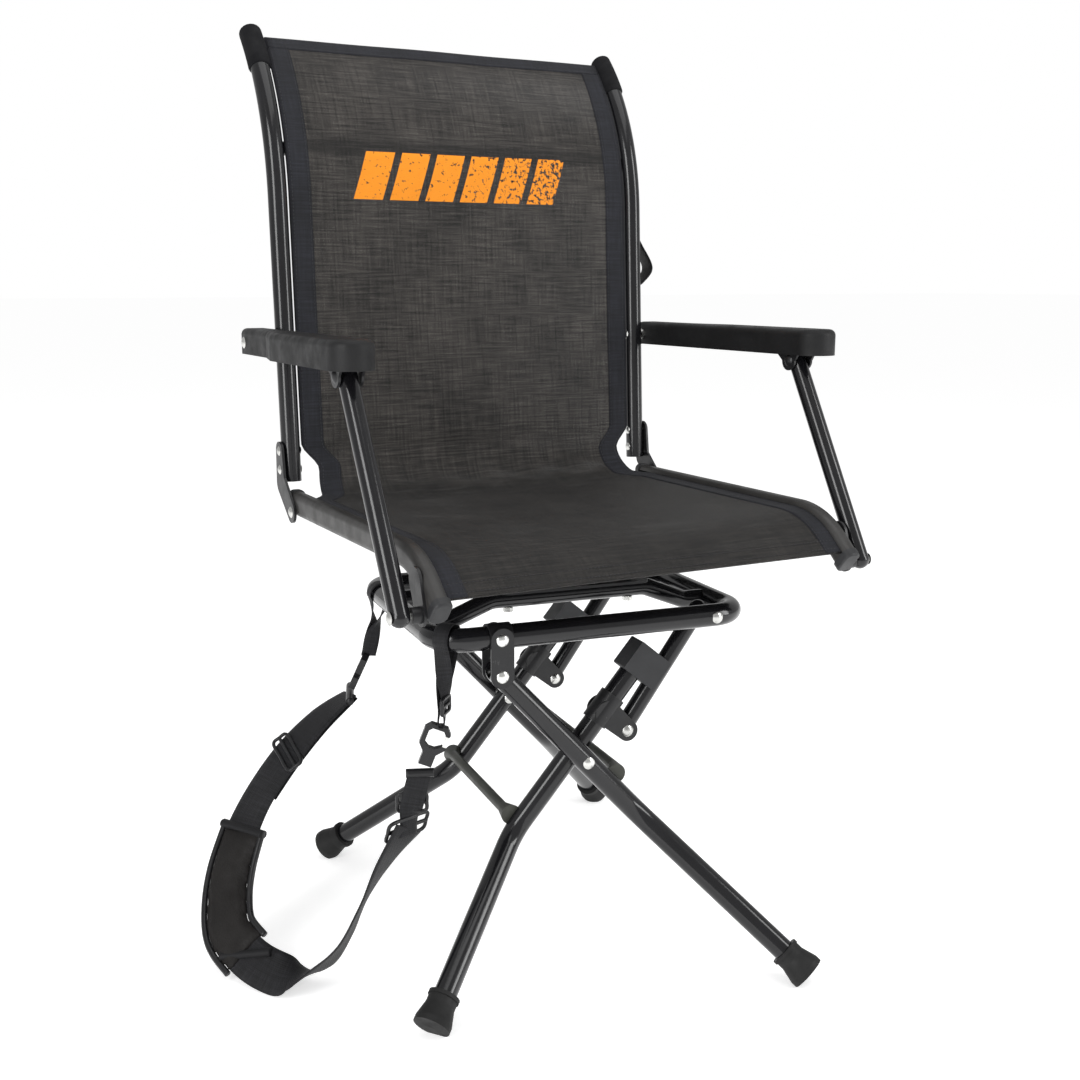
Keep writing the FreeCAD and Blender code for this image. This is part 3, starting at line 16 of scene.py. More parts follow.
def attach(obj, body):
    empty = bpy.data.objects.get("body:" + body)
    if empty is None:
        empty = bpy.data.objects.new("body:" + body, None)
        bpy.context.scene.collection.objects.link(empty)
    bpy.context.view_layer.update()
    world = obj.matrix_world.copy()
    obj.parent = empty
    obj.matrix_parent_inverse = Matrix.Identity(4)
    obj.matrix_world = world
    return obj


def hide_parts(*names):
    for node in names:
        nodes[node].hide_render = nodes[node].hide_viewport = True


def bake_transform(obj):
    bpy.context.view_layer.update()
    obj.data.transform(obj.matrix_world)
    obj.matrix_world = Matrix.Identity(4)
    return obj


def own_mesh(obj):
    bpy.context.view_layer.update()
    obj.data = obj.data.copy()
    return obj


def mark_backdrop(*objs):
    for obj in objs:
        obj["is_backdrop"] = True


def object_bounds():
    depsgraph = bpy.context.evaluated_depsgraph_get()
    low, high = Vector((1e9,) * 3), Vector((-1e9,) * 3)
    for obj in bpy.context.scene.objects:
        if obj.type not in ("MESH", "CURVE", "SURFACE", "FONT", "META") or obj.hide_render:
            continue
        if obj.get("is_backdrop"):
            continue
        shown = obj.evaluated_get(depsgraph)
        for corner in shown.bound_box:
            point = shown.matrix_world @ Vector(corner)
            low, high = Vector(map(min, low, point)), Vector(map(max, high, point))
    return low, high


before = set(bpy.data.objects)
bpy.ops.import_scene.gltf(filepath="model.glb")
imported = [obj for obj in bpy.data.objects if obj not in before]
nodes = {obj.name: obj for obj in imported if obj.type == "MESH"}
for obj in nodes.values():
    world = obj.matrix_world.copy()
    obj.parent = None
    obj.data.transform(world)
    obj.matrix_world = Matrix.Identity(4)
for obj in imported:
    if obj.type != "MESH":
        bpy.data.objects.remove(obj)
cad_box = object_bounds()

# %% [markdown]
# ## Node helpers
# A material is a small graph, and a few short helpers keep each graph readable: `add_node` makes a
# node, sets its properties and wires its inputs, `calc` is one Math node, `weighted` adds up values
# by weight and `map_range` stretches one range over another.

# %% Node helpers
def add_node(tree, kind, inputs=None, **settings):
    made = tree.nodes.new(kind)
    for key, value in settings.items():
        setattr(made, key, value)
    for key, value in (inputs or {}).items():
        if isinstance(value, bpy.types.NodeSocket):
            tree.links.new(value, made.inputs[key])
        else:
            made.inputs[key].default_value = value
    return made


def calc(tree, operation, first, second=0.0):
    return add_node(tree, "ShaderNodeMath", {0: first, 1: second}, operation=operation).outputs[0]


def product(tree, first, *others):
    for other in others:
        first = calc(tree, "MULTIPLY", first, other)
    return first


def weighted(tree, *parts):
    """The sum of (value, weight) pairs."""
    products = [calc(tree, "MULTIPLY", value, weight) for value, weight in parts]
    total = products[0]
    for part in products[1:]:
        total = calc(tree, "ADD", total, part)
    return total


def map_range(tree, value, low, high, to_low=0.0, to_high=1.0):
    given = {"Value": value, "From Min": low, "From Max": high, "To Min": to_low, "To Max": to_high}
    return add_node(tree, "ShaderNodeMapRange", given).outputs["Result"]


def new_group(name, inputs, outputs):
    """A shader node group with named inputs (name, socket type, value) and outputs (name, type)."""
    tree = bpy.data.node_groups.new(name, "ShaderNodeTree")
    for label, kind, value in inputs:
        socket = tree.interface.new_socket(label, in_out="INPUT", socket_type=kind)
        if value is not None:
            socket.default_value = value
    for label, kind in outputs:
        tree.interface.new_socket(label, in_out="OUTPUT", socket_type=kind)
    return tree, tree.nodes.new("NodeGroupInput").outputs, tree.nodes.new("NodeGroupOutput").inputs


NUMBER, VECTOR = "NodeSocketFloat", "NodeSocketVector"

# %% [markdown]
# ## Shared effects
# The same few effects appear on many finishes, so each is a node group, built once. `speckle` is a
# noise stretched between two values: it varies roughness, height and tone. `scuffs` are the thin
# rubbed patches that handling leaves on paint and plastic. `plain_weave` draws threads that pass
# over and under each other on a flat map measured in metres, with the gaps between them.

# %% Speckle
NOISE_SPAN = (0.3, 0.7)     # where most of the noise's values lie


def build_speckle():
    tree, given, out = new_group(
        "speckle",
        [("Vector", VECTOR, None), ("Size", NUMBER, 0.004), ("Low", NUMBER, 0.0), ("High", NUMBER, 1.0)],
        [("Value", NUMBER)])
    noise = add_node(tree, "ShaderNodeTexNoise", {
        "Vector": given["Vector"], "Scale": calc(tree, "DIVIDE", 1.0, given["Size"]), "Detail": 3.0})
    low, high = NOISE_SPAN
    spread = map_range(tree, noise.outputs["Fac"], low, high, given["Low"], given["High"])
    tree.links.new(spread, out["Value"])
    return tree


speckle = build_speckle()

# %% Scuffs
RUB_STRETCH = (6.0, 1.0, 2.5)       # rubbed marks are longer one way
RUB_LEVEL = 0.72                    # the mixed noise has to pass this, less the amount's share
RUB_SHARE = 0.2
RUB_EDGE = 0.05                     # how softly a mark ends


def build_scuffs():
    tree, given, out = new_group(
        "scuffs",
        [("Vector", VECTOR, None), ("Size", NUMBER, 0.02), ("Amount", NUMBER, 0.3)],
        [("Mask", NUMBER)])
    scale = calc(tree, "DIVIDE", 1.0, given["Size"])
    broad = add_node(tree, "ShaderNodeTexNoise", {"Vector": given["Vector"], "Scale": scale, "Detail": 2.0})
    stretched = add_node(tree, "ShaderNodeMapping", {"Vector": given["Vector"], "Scale": RUB_STRETCH})
    fine = add_node(tree, "ShaderNodeTexNoise", {
        "Vector": stretched.outputs["Vector"], "Scale": scale, "Detail": 6.0, "Roughness": 0.7})
    edge = calc(tree, "SUBTRACT", RUB_LEVEL, calc(tree, "MULTIPLY", given["Amount"], RUB_SHARE))
    both = weighted(tree, (broad.outputs["Fac"], 0.45), (fine.outputs["Fac"], 0.55))
    tree.links.new(map_range(tree, both, edge, calc(tree, "ADD", edge, RUB_EDGE)), out["Mask"])
    return tree


scuffs = build_scuffs()

# %% Plain weave
THREAD_UNDER = 0.55                 # height of a thread where it passes under, out of 1
GAP_SPAN = (0.16, 0.4)              # how far from both threads the cloth starts to open, and is open


def build_plain_weave():
    tree, given, out = new_group(
        "plain_weave",
        [("Map", VECTOR, None), ("Across", NUMBER, 0.0012), ("Along", NUMBER, 0.0012)],
        [("Height", NUMBER), ("Gap", NUMBER)])
    place = add_node(tree, "ShaderNodeSeparateXYZ", {"Vector": given["Map"]})
    waves = []
    for axis, pitch in (("X", given["Across"]), ("Y", given["Along"])):
        turns = calc(tree, "MULTIPLY", calc(tree, "DIVIDE", place.outputs[axis], pitch), math.pi)
        waves.append(calc(tree, "SINE", turns))
    swells = [calc(tree, "ABSOLUTE", wave) for wave in waves]
    over = calc(tree, "GREATER_THAN", calc(tree, "MULTIPLY", waves[0], waves[1]), 0.0)
    under = calc(tree, "SUBTRACT", 1.0, over)
    threads = []
    for swell_height, on_top in zip(swells, (over, under)):
        raised = calc(tree, "ADD", THREAD_UNDER, calc(tree, "MULTIPLY", on_top, 1.0 - THREAD_UNDER))
        threads.append(calc(tree, "MULTIPLY", swell_height, raised))
    gap = product(tree, *[calc(tree, "SUBTRACT", 1.0, swell_height) for swell_height in swells])
    tree.links.new(calc(tree, "MAXIMUM", *threads), out["Height"])
    tree.links.new(map_range(tree, gap, *GAP_SPAN), out["Gap"])
    return tree


plain_weave = build_plain_weave()

# %% [markdown]
# ## Hard finishes
# Paint, zinc, rubber and moulded plastic differ in tone, gloss and grain, but are built alike: two
# tones mixed by scuffs, a roughness that varies a little, and a fine bump. One function makes them
# all, and each finish gives its own numbers. What is the same all over is set on the shader itself.

# %% Hard finishes
def group_node(tree, group, **inputs):
    return add_node(tree, "ShaderNodeGroup", inputs, node_tree=group)


def two_tones(tree, factor, first, second):
    mix = add_node(tree, "ShaderNodeMix", {"Factor": factor}, data_type="RGBA")
    for socket, tone in ((mix.inputs[6], first), (mix.inputs[7], second)):
        if isinstance(tone, bpy.types.NodeSocket):
            tree.links.new(tone, socket)
        else:
            socket.default_value = (*tone, 1.0)
    return mix.outputs[2]


def new_material(name):
    material = bpy.data.materials.new(name)
    material.use_nodes = True
    return material, material.node_tree, material.node_tree.nodes["Principled BSDF"]


def set_inputs(shader, values):
    for name, value in values.items():
        shader.inputs[name].default_value = value


def add_bump(tree, shader, height, strength, depth):
    bump = add_node(tree, "ShaderNodeBump", {"Height": height, "Strength": strength, "Distance": depth})
    tree.links.new(bump.outputs["Normal"], shader.inputs["Normal"])


MOTTLE_SIZE, MOTTLE = 0.05, 0.25    # broad patches, and how much lighter or darker they are
GLOSS_SIZE = 0.018                  # patches of smoother and rougher finish
RUBBED_DULLER = 0.22                # added roughness where the finish is rubbed


def hard_finish(name, tone, worn_tone, roughness, grain_size, grain_depth, metallic=0.0, coat=0.0,
                scuff_size=0.03, scuff_amount=0.3, specular=0.35):
    material, tree, shader = new_material(name)
    place = add_node(tree, "ShaderNodeTexCoord").outputs["Object"]
    shade = group_node(tree, speckle, Vector=place, Size=MOTTLE_SIZE, Low=1.0 - MOTTLE,
                       High=1.0 + MOTTLE).outputs[0]
    toned = add_node(tree, "ShaderNodeVectorMath", {0: tone, "Scale": shade}, operation="SCALE").outputs[0]
    rubbed = group_node(tree, scuffs, Vector=place, Size=scuff_size, Amount=scuff_amount).outputs[0]
    tree.links.new(two_tones(tree, rubbed, toned, worn_tone), shader.inputs["Base Color"])
    gloss = group_node(tree, speckle, Vector=place, Size=GLOSS_SIZE, Low=roughness * 0.8,
                       High=roughness * 1.25).outputs[0]
    dulled = calc(tree, "ADD", gloss, calc(tree, "MULTIPLY", rubbed, RUBBED_DULLER))
    tree.links.new(dulled, shader.inputs["Roughness"])
    grain = group_node(tree, speckle, Vector=place, Size=grain_size).outputs[0]
    add_bump(tree, shader, grain, 0.5, grain_depth)
    set_inputs(shader, {"Metallic": metallic, "Specular IOR Level": specular, "Coat Weight": coat,
                        "Coat Roughness": 0.12})
    return material


# name, tone, worn tone, roughness, grain size and grain depth
gloss_black = hard_finish("gloss_black_enamel", (0.006, 0.006, 0.007), (0.03, 0.03, 0.031), 0.17, 0.003,
                          0.00006, coat=0.4, scuff_amount=0.2, specular=0.25)
satin_charcoal = hard_finish("satin_charcoal_paint", (0.028, 0.027, 0.026), (0.07, 0.068, 0.064), 0.4,
                             0.0015, 0.00008)
satin_olive = hard_finish("satin_olive_paint", (0.033, 0.034, 0.028), (0.09, 0.09, 0.08), 0.42, 0.0018,
                          0.0001)
stamped_black = hard_finish("stamped_black_steel", (0.011, 0.011, 0.012), (0.07, 0.07, 0.07), 0.36, 0.0022,
                            0.0001, scuff_amount=0.5, scuff_size=0.015)
bright_zinc = hard_finish("bright_zinc", (0.62, 0.62, 0.6), (0.35, 0.34, 0.32), 0.24, 0.0012, 0.00005,
                          metallic=1.0, scuff_size=0.006, scuff_amount=0.6)
foot_rubber = hard_finish("foot_rubber", (0.011, 0.011, 0.011), (0.04, 0.038, 0.035), 0.62, 0.0014,
                          0.00012, scuff_amount=0.5, specular=0.25)
arm_plastic = hard_finish("arm_plastic", (0.009, 0.009, 0.0095), (0.025, 0.025, 0.025), 0.5, 0.0009, 0.00022,
                          specular=0.22)
grey_plastic = hard_finish("dark_grey_plastic", (0.021, 0.0215, 0.023), (0.05, 0.05, 0.052), 0.46, 0.0012,
                           0.00014, specular=0.3)
hook_plastic = hard_finish("hook_plastic", (0.008, 0.008, 0.009), (0.03, 0.03, 0.03), 0.3, 0.0012, 0.0001)
pocket_cloth = hard_finish("pocket_cloth", (0.006, 0.006, 0.007), (0.018, 0.018, 0.02), 0.75, 0.0012, 0.0003,
                           specular=0.15)
pad_cover = hard_finish("pad_cover", (0.0085, 0.0075, 0.007), (0.022, 0.02, 0.018), 0.62, 0.0021, 0.0006,
                        specular=0.2)
print("hard finishes:", len(bpy.data.materials))

# %% [markdown]
# ## Woven finishes
# Cloth is read from its own map, in metres, so threads keep their size and follow the cloth round
# every bend. In every cloth a painted shade of the weave makes each thread lighter where it rides
# over and darker where it dips under and in the gaps between threads. The sling is a coated plain
# weave with thicker threads here and there and small gaps that light passes through. A painted shade
# on its map makes the seat darker than the back, and a narrow band darker where the cross tube lies
# behind the back's mesh; where it darkens, it also closes the gaps a little. Webbing is a tight weave
# with raised ribs, and the hem tape is the same idea, finer and bluer.

# %% Woven finishes
STREAK_POWER, STREAK_GAIN = 1.7, 1.5    # contrast between thick and thin threads
CLOTH_MAP = "flat"                      # the name of every cloth's map


def slubs(tree, place, stretch, size):
    """Streaks along one direction of the map, as thick and thin threads make."""
    pulled = add_node(tree, "ShaderNodeMapping", {"Vector": place, "Scale": stretch}).outputs["Vector"]
    return group_node(tree, speckle, Vector=pulled, Size=size).outputs[0]


def woven_finish(name, tone, light_tone, across, along, depth, roughness, open_gaps=0.0, ink=None,
                 shade=None):
    material, tree, shader = new_material(name)
    place = add_node(tree, "ShaderNodeUVMap", uv_map=CLOTH_MAP).outputs["UV"]
    weave = group_node(tree, plain_weave, Map=place, Across=across, Along=along)
    wefts = slubs(tree, place, (0.05, 1.0, 1.0), 0.0022)
    warps = slubs(tree, place, (1.0, 0.05, 1.0), 0.0026)
    broad = group_node(tree, speckle, Vector=place, Size=0.09).outputs[0]
    streak = weighted(tree, (wefts, 0.5), (warps, 0.3), (broad, 0.2))
    contrast = calc(tree, "MULTIPLY", calc(tree, "POWER", streak, STREAK_POWER), STREAK_GAIN)
    # Painted shade of the weave: each thread is painted lighter where it rides over and darker where it dips
    # under and in the gaps; the streaks are the threads' own thick and thin tone.
    raised = calc(tree, "MULTIPLY", weave.outputs["Height"], 0.55)
    streak_and_painted_shade = calc(tree, "MULTIPLY", contrast, calc(tree, "ADD", 0.45, raised))
    # share is the painted shade from the map, 1 where none is given: it darkens the cloth, and below it also
    # closes the gaps a little
    share = shade(tree, place) if shade else 1.0
    if shade:
        streak_and_painted_shade = calc(tree, "MULTIPLY", streak_and_painted_shade, share)
    cloth = two_tones(tree, streak_and_painted_shade, tone, light_tone)
    if ink:
        mask, ink_tone = ink
        cloth = two_tones(tree, mask(tree, place), cloth, ink_tone)
    tree.links.new(cloth, shader.inputs["Base Color"])
    rough = map_range(tree, streak, 0.0, 1.0, roughness * 0.85, roughness * 1.12)
    tree.links.new(rough, shader.inputs["Roughness"])
    add_bump(tree, shader, weighted(tree, (weave.outputs["Height"], 1.0), (streak, 0.6)), 0.7, depth)
    if open_gaps:
        # where the painted shade darkens the cloth, fewer gaps open
        opening = calc(tree, "MULTIPLY", weave.outputs["Gap"], calc(tree, "MULTIPLY", share, open_gaps))
        tree.links.new(calc(tree, "SUBTRACT", 1.0, opening), shader.inputs["Alpha"])
    set_inputs(shader, {"Specular IOR Level": 0.22, "Sheen Weight": 0.03, "Sheen Roughness": 0.5})
    return material

# %% [markdown]
# ## The print on the back
# The back carries a broad orange print: a plain row of leaning bars, worn by the cloth. A repeating
# ramp across the map gives the bars, two limits give the block its height and width, and noise wears
# through it, more towards the right.

# %% The printed bars
PRINT_MIDDLE = Vector((0.002, 0.786))     # on the sling's map: across from the middle, along from the front
PRINT_HALF = Vector((0.138, 0.028))
BAR_PITCH = 0.0460
BAR_SHARE = 0.80            # of each pitch that is inked
BAR_LEAN = 0.35
INK = (0.80, 0.26, 0.012)
WEAR_FROM, WEAR_TO = -0.05, 0.16          # across the map, from a whole print to a worn one
WHOLE, WORN = 0.62, 0.5                   # the noise below which ink is kept, at either end


def printed_bars(tree, place):
    at = add_node(tree, "ShaderNodeSeparateXYZ", {"Vector": place})
    across = calc(tree, "SUBTRACT", at.outputs["X"], PRINT_MIDDLE.x)
    along = calc(tree, "SUBTRACT", at.outputs["Y"], PRINT_MIDDLE.y)
    leaning = calc(tree, "SUBTRACT", across, calc(tree, "MULTIPLY", along, BAR_LEAN))
    step = calc(tree, "FRACT", calc(tree, "DIVIDE", calc(tree, "ADD", leaning, PRINT_HALF.x), BAR_PITCH))
    bar = calc(tree, "LESS_THAN", step, BAR_SHARE)
    wide = calc(tree, "LESS_THAN", calc(tree, "ABSOLUTE", leaning), PRINT_HALF.x)
    tall = calc(tree, "LESS_THAN", calc(tree, "ABSOLUTE", along), PRINT_HALF.y)
    worn = add_node(tree, "ShaderNodeTexNoise", {
        "Vector": place, "Scale": 190.0, "Detail": 5.0, "Roughness": 0.65})
    fade = map_range(tree, across, WEAR_FROM, WEAR_TO, WHOLE, WORN)
    kept = calc(tree, "LESS_THAN", worn.outputs["Fac"], fade)
    return product(tree, wide, tall, bar, kept)


KNEE_ON_MAP = 0.427         # where the seat turns up into the back
TUBE_ON_MAP = 0.818         # where the cross tube lies against the back of the mesh
SEAT_PAINTED_SHADE = 0.42           # painted shade: how dark the seat is painted beside the back
TUBE_PAINTED_SHADE = 0.42           # painted shade: how dark the band over the cross tube is painted
TUBE_NEAR, TUBE_FAR = 0.006, 0.012          # from the tube's middle: the whole painted shade ends, none is left


# Painted shade on the sling's map: the seat darker than the back, and a narrow band darker over the cross
# tube behind the back.
def sling_painted_shade(tree, place):
    along = add_node(tree, "ShaderNodeSeparateXYZ", {"Vector": place}).outputs["Y"]
    seat = map_range(tree, along, KNEE_ON_MAP - 0.03, KNEE_ON_MAP + 0.02, SEAT_PAINTED_SHADE, 1.0)
    from_tube = calc(tree, "ABSOLUTE", calc(tree, "SUBTRACT", along, TUBE_ON_MAP))
    return calc(tree, "MULTIPLY", seat, map_range(tree, from_tube, TUBE_NEAR, TUBE_FAR, TUBE_PAINTED_SHADE, 1.0))


# %% Cloths
# name, tone, light tone, threads' pitch across and along, depth and roughness
sling_mesh = woven_finish("sling_mesh", (0.004, 0.0039, 0.0038), (0.072, 0.065, 0.059), 0.0013, 0.0013,
                          0.0003, 0.62, open_gaps=0.5, ink=(printed_bars, INK), shade=sling_painted_shade)
hem_tape = woven_finish("hem_tape", (0.005, 0.0053, 0.007), (0.022, 0.023, 0.030), 0.0008, 0.0008,
                        0.0002, 0.7)
webbing = woven_finish("black_webbing", (0.003, 0.003, 0.0036), (0.020, 0.020, 0.023), 0.0021, 0.0011,
                       0.0004, 0.6)
thread = hard_finish("polyester_thread", (0.02, 0.02, 0.023), (0.05, 0.05, 0.055), 0.5, 0.0008, 0.0001)
print("all finishes:", len(bpy.data.materials))

# %% [markdown]
# ## Finishes on the CAD nodes
# The frame's metal and plastic nodes keep their shape and only change finish. Each list says which
# pieces a workshop would have painted, plated or moulded together.

# %% Finishes on the CAD nodes
def dress(names, material):
    for name in names:
        mesh = nodes[name].data
        mesh.materials.clear()
        mesh.materials.append(material)


ends = ("front", "rear")
sides = ("left", "right")
tubes = ("ring", "cross_bar", "outer_leg", "inner_leg", "brace", "seat_tube")
dress([f"{kind}_{e}" for kind in tubes for e in ends]
      + [f"{kind}_{s}" for kind in ("back_rail", "arm_strut") for s in sides] + ["back_cross_tube"],
      gloss_black)
dress([f"seat_rail_{s}" for s in sides], satin_charcoal)
dress(["outer_leg_cross_bar", "inner_leg_cross_bar"], satin_olive)
dress(["leg_hinge_brackets", "strut_tabs", "brace_collars", "swivel_lower_plate", "swivel_upper_plate"]
      + [f"{kind}_{s}" for kind in ("hinge_plate", "arm_bracket") for s in sides], stamped_black)
dress(["leg_hinge_pins", "brace_ring_bolts", "leg_cross_bolts", "collar_rivets", "seat_side_pins",
       "hinge_rivets", "arm_pivot_pins", "swivel_lower_bolts", "swivel_upper_bolts", "swivel_centre_bolt",
       "swivel_ball_race"], bright_zinc)
dress([f"{kind}_foot_{e}" for kind in ("outer", "inner") for e in ends], foot_rubber)
dress(["rail_end_caps", "brace_clips"], grey_plastic)
dress(["back_top_caps"], pocket_cloth)
print("dressed", sum(1 for node in nodes.values() if node.data.materials), "nodes")

# %% [markdown]
# ## Mesh helpers
# A smooth line through a few chosen points is a Catmull-Rom curve. A `band` lays a flat strap along
# such a line and a `rod` sweeps a round bar along it. Both make closed shells whose faces point
# outwards, and a band carries a map in metres, so that its weave keeps its size. A band's width
# points along its `way`, which may turn from one end to the other.

# %% Smooth lines
def smooth_line(points, step, closed=False):
    """Points about step apart on a smooth curve through the given ones; each may hold extra numbers."""
    count = len(points)
    spans = count if closed else count - 1
    line = []
    for k in range(spans):
        if closed:
            p0, p1, p2, p3 = (points[(k + i - 1) % count] for i in range(4))
        else:
            p0, p1, p2, p3 = (points[min(max(k + i - 1, 0), count - 1)] for i in range(4))
        pieces = max(1, round((p2 - p1).length / step))
        for i in range(pieces):
            t = i / pieces
            line.append(0.5 * (2 * p1 + (p2 - p0) * t + (2 * p0 - 5 * p1 + 4 * p2 - p3) * t * t
                               + (3 * p1 - p0 - 3 * p2 + p3) * t * t * t))
    if not closed:
        line.append(points[-1].copy())
    return line


def tangents(line, closed=False):
    count = len(line)
    found = []
    for k in range(count):
        before = line[k - 1] if closed or k else line[0]
        after = line[(k + 1) % count] if closed or k < count - 1 else line[-1]
        found.append((after - before).normalized())
    return found


def square_to(direction, way):
    return (direction - way * direction.dot(way)).normalized()


def turning_line(points, widths_way, step, closed=False):
    """Each place on a smooth line, the line's direction there and the band's width direction."""
    both = smooth_line([Vector((*p, *w)) for p, w in zip(points, widths_way)], step, closed)
    line = [Vector(b[:3]) for b in both]
    return [(here, way, square_to(Vector(mixed[3:]), way))
            for here, way, mixed in zip(line, tangents(line, closed), both)]

# %% Shells from rings of points
BAND_COLUMNS = 8
BAND_SPOTS = [-1 + 2 * c / BAND_COLUMNS for c in range(BAND_COLUMNS + 1)]
BAND_EDGE = 0.35            # a broad band's edge is this share of its full thickness


def round_edged(u):
    return BAND_EDGE + (1 - BAND_EDGE) * math.sqrt(max(0.0, 1 - abs(u) ** 12))


def link_object(name, data):
    made = bpy.data.objects.new(name, data)
    bpy.context.scene.collection.objects.link(made)
    return made


def shell(name, rings, material, closed=False, maps=None):
    """Joins rings of points, in order, into one closed smooth shell."""
    mesh = bpy.data.meshes.new(name)
    built = bmesh.new()
    layer = built.loops.layers.uv.new(CLOTH_MAP) if maps else None
    rows = [[built.verts.new(p) for p in ring] for ring in rings]
    places = {}
    if maps:
        for row, mapped in zip(rows, maps):
            places.update(zip(row, mapped))
    size = len(rings[0])
    count = len(rows) if closed else len(rows) - 1
    for k in range(count):
        a, b = rows[k], rows[(k + 1) % len(rows)]
        for i in range(size):
            j = (i + 1) % size
            built.faces.new((a[i], a[j], b[j], b[i]))
    if not closed:
        built.faces.new(rows[0][::-1])
        built.faces.new(rows[-1])
    if maps:
        for face in built.faces:
            for loop in face.loops:
                loop[layer].uv = places[loop.vert]
    for face in built.faces:
        face.smooth = True
    bmesh.ops.recalc_face_normals(built, faces=built.faces)
    built.to_mesh(mesh)
    built.free()
    mesh.materials.append(material)
    return link_object(name, mesh)


ODD_WAY = Vector((0.13, 0.31, 0.94))        # lies along no bar of this chair
ROUND_TURN = 2 * math.pi


def rod(name, points, radius, material, closed=False, flat=1.0, step=0.0025, sides=12):
    """A round bar along a smooth line. flat below 1 squeezes its section."""
    line = smooth_line(points, step, closed)
    ways = tangents(line, closed)
    across = ODD_WAY.cross(ways[0]).normalized()
    turns = [ROUND_TURN * k / sides for k in range(sides)]
    rings = []
    for here, way in zip(line, ways):
        across = square_to(across, way)
        out = way.cross(across)
        rings.append([here + across * (radius * math.cos(a)) + out * (radius * flat * math.sin(a))
                      for a in turns])
    return shell(name, rings, material, closed)


def band(name, points, widths_way, width, thickness, material, step=0.005, spots=BAND_SPOTS,
         fullness=round_edged, closed=False):
    """A strap along a smooth line. fullness is its share of the thickness at each spot, -1..1 across."""
    travelled = 0.0
    last = None
    rings, maps = [], []
    for here, way, side in turning_line(points, widths_way, step, closed):
        face = way.cross(side)
        if last is not None:
            travelled += (here - last).length
        last = here
        half, deep = width / 2, thickness / 2
        upper = [here + side * (u * half) + face * (deep * fullness(u)) for u in spots]
        lower = [here + side * (u * half) - face * (deep * fullness(u)) for u in reversed(spots)]
        rings.append(upper + lower)
        mapped = [(u * half, travelled) for u in spots]
        maps.append(mapped + mapped[::-1])
    piece = shell(name, rings, material, closed=closed, maps=maps)
    piece["length"] = travelled
    return piece


def add_modifier(piece, kind, **settings):
    modifier = piece.modifiers.new(kind.lower(), kind)
    for key, value in settings.items():
        setattr(modifier, key, value)
    return modifier


def final_mesh(piece):
    return bpy.data.meshes.new_from_object(piece.evaluated_get(bpy.context.evaluated_depsgraph_get()))


def settle(piece):
    """Applies every modifier, so that the piece is a plain mesh."""
    mesh = final_mesh(piece)
    piece.modifiers.clear()
    old, name = piece.data, piece.data.name
    piece.data = mesh
    bpy.data.meshes.remove(old)
    mesh.name = name

# %% [markdown]
# ## Stitches from Geometry Nodes
# A seam is one short thread repeated every few millimetres, so the row is a Geometry Nodes tree:
# resample a line at the stitch spacing, put one small capsule on each point, and turn it along the
# line. The inputs are the spacing, the stitch's length and its thickness.

# %% The stitch tree
STITCH = {"Spacing": 0.0042, "Length": 0.0030, "Thickness": 0.0007}


def build_stitch_tree():
    tree = bpy.data.node_groups.new("stitch_row", "GeometryNodeTree")
    tree.interface.new_socket("Geometry", in_out="INPUT", socket_type="NodeSocketGeometry")
    for label, value in STITCH.items():
        tree.interface.new_socket(label, in_out="INPUT", socket_type=NUMBER).default_value = value
    tree.interface.new_socket("Finish", in_out="INPUT", socket_type="NodeSocketMaterial")
    tree.interface.new_socket("Geometry", in_out="OUTPUT", socket_type="NodeSocketGeometry")
    given = tree.nodes.new("NodeGroupInput").outputs
    row = add_node(tree, "GeometryNodeResampleCurve", {
        "Curve": given["Geometry"], "Length": given["Spacing"]}, mode="LENGTH")
    bead = add_node(tree, "GeometryNodeMeshIcoSphere", {"Radius": 0.5, "Subdivisions": 2})
    size = add_node(tree, "ShaderNodeCombineXYZ", {"X": given["Length"], "Y": given["Thickness"],
                                                   "Z": given["Thickness"]})
    shaped = add_node(tree, "GeometryNodeTransform", {"Geometry": bead.outputs["Mesh"],
                                                      "Scale": size.outputs["Vector"]})
    way = add_node(tree, "FunctionNodeAlignRotationToVector",
                   {"Vector": tree.nodes.new("GeometryNodeInputTangent").outputs[0]}, axis="X")
    placed = add_node(tree, "GeometryNodeInstanceOnPoints", {
        "Points": row.outputs["Curve"], "Instance": shaped.outputs["Geometry"],
        "Rotation": way.outputs["Rotation"]})
    real = add_node(tree, "GeometryNodeRealizeInstances", {"Geometry": placed.outputs["Instances"]})
    finished = add_node(tree, "GeometryNodeSetMaterial", {"Geometry": real.outputs["Geometry"],
                                                          "Material": given["Finish"]})
    tree.links.new(finished.outputs["Geometry"], tree.nodes.new("NodeGroupOutput").inputs[0])
    return tree


stitch_tree = build_stitch_tree()


def stitches(name, lines):
    """Rows of stitches along the given lines of points, as one plain mesh."""
    curve = bpy.data.curves.new(name, "CURVE")
    curve.dimensions = "3D"
    for line in lines:
        spline = curve.splines.new("POLY")
        spline.points.add(len(line) - 1)
        for point, place in zip(spline.points, line):
            point.co = (*place, 1.0)
    source = link_object(name + "_line", curve)
    modifier = source.modifiers.new("stitches", "NODES")
    modifier.node_group = stitch_tree
    values = {**STITCH, "Finish": thread}
    for item in stitch_tree.interface.items_tree:
        if item.in_out == "INPUT" and item.name in values:
            modifier[item.identifier] = values[item.name]
    mesh = final_mesh(source)
    bpy.data.objects.remove(source)
    print(name, len(mesh.polygons), "faces")
    return link_object(name, mesh)

# %% [markdown]
# ## The sling
# One panel of coated mesh runs from the rolled front edge of the seat to the top of the back. It is
# sewn to the side rails, so it is stretched sideways and only sags a little between them; where the
# back folds it curves freely from the seat to the back and is cut away at both hinges. The panel's
# middle line is traced first in the side view, then rows of points cross it from rail to rail.

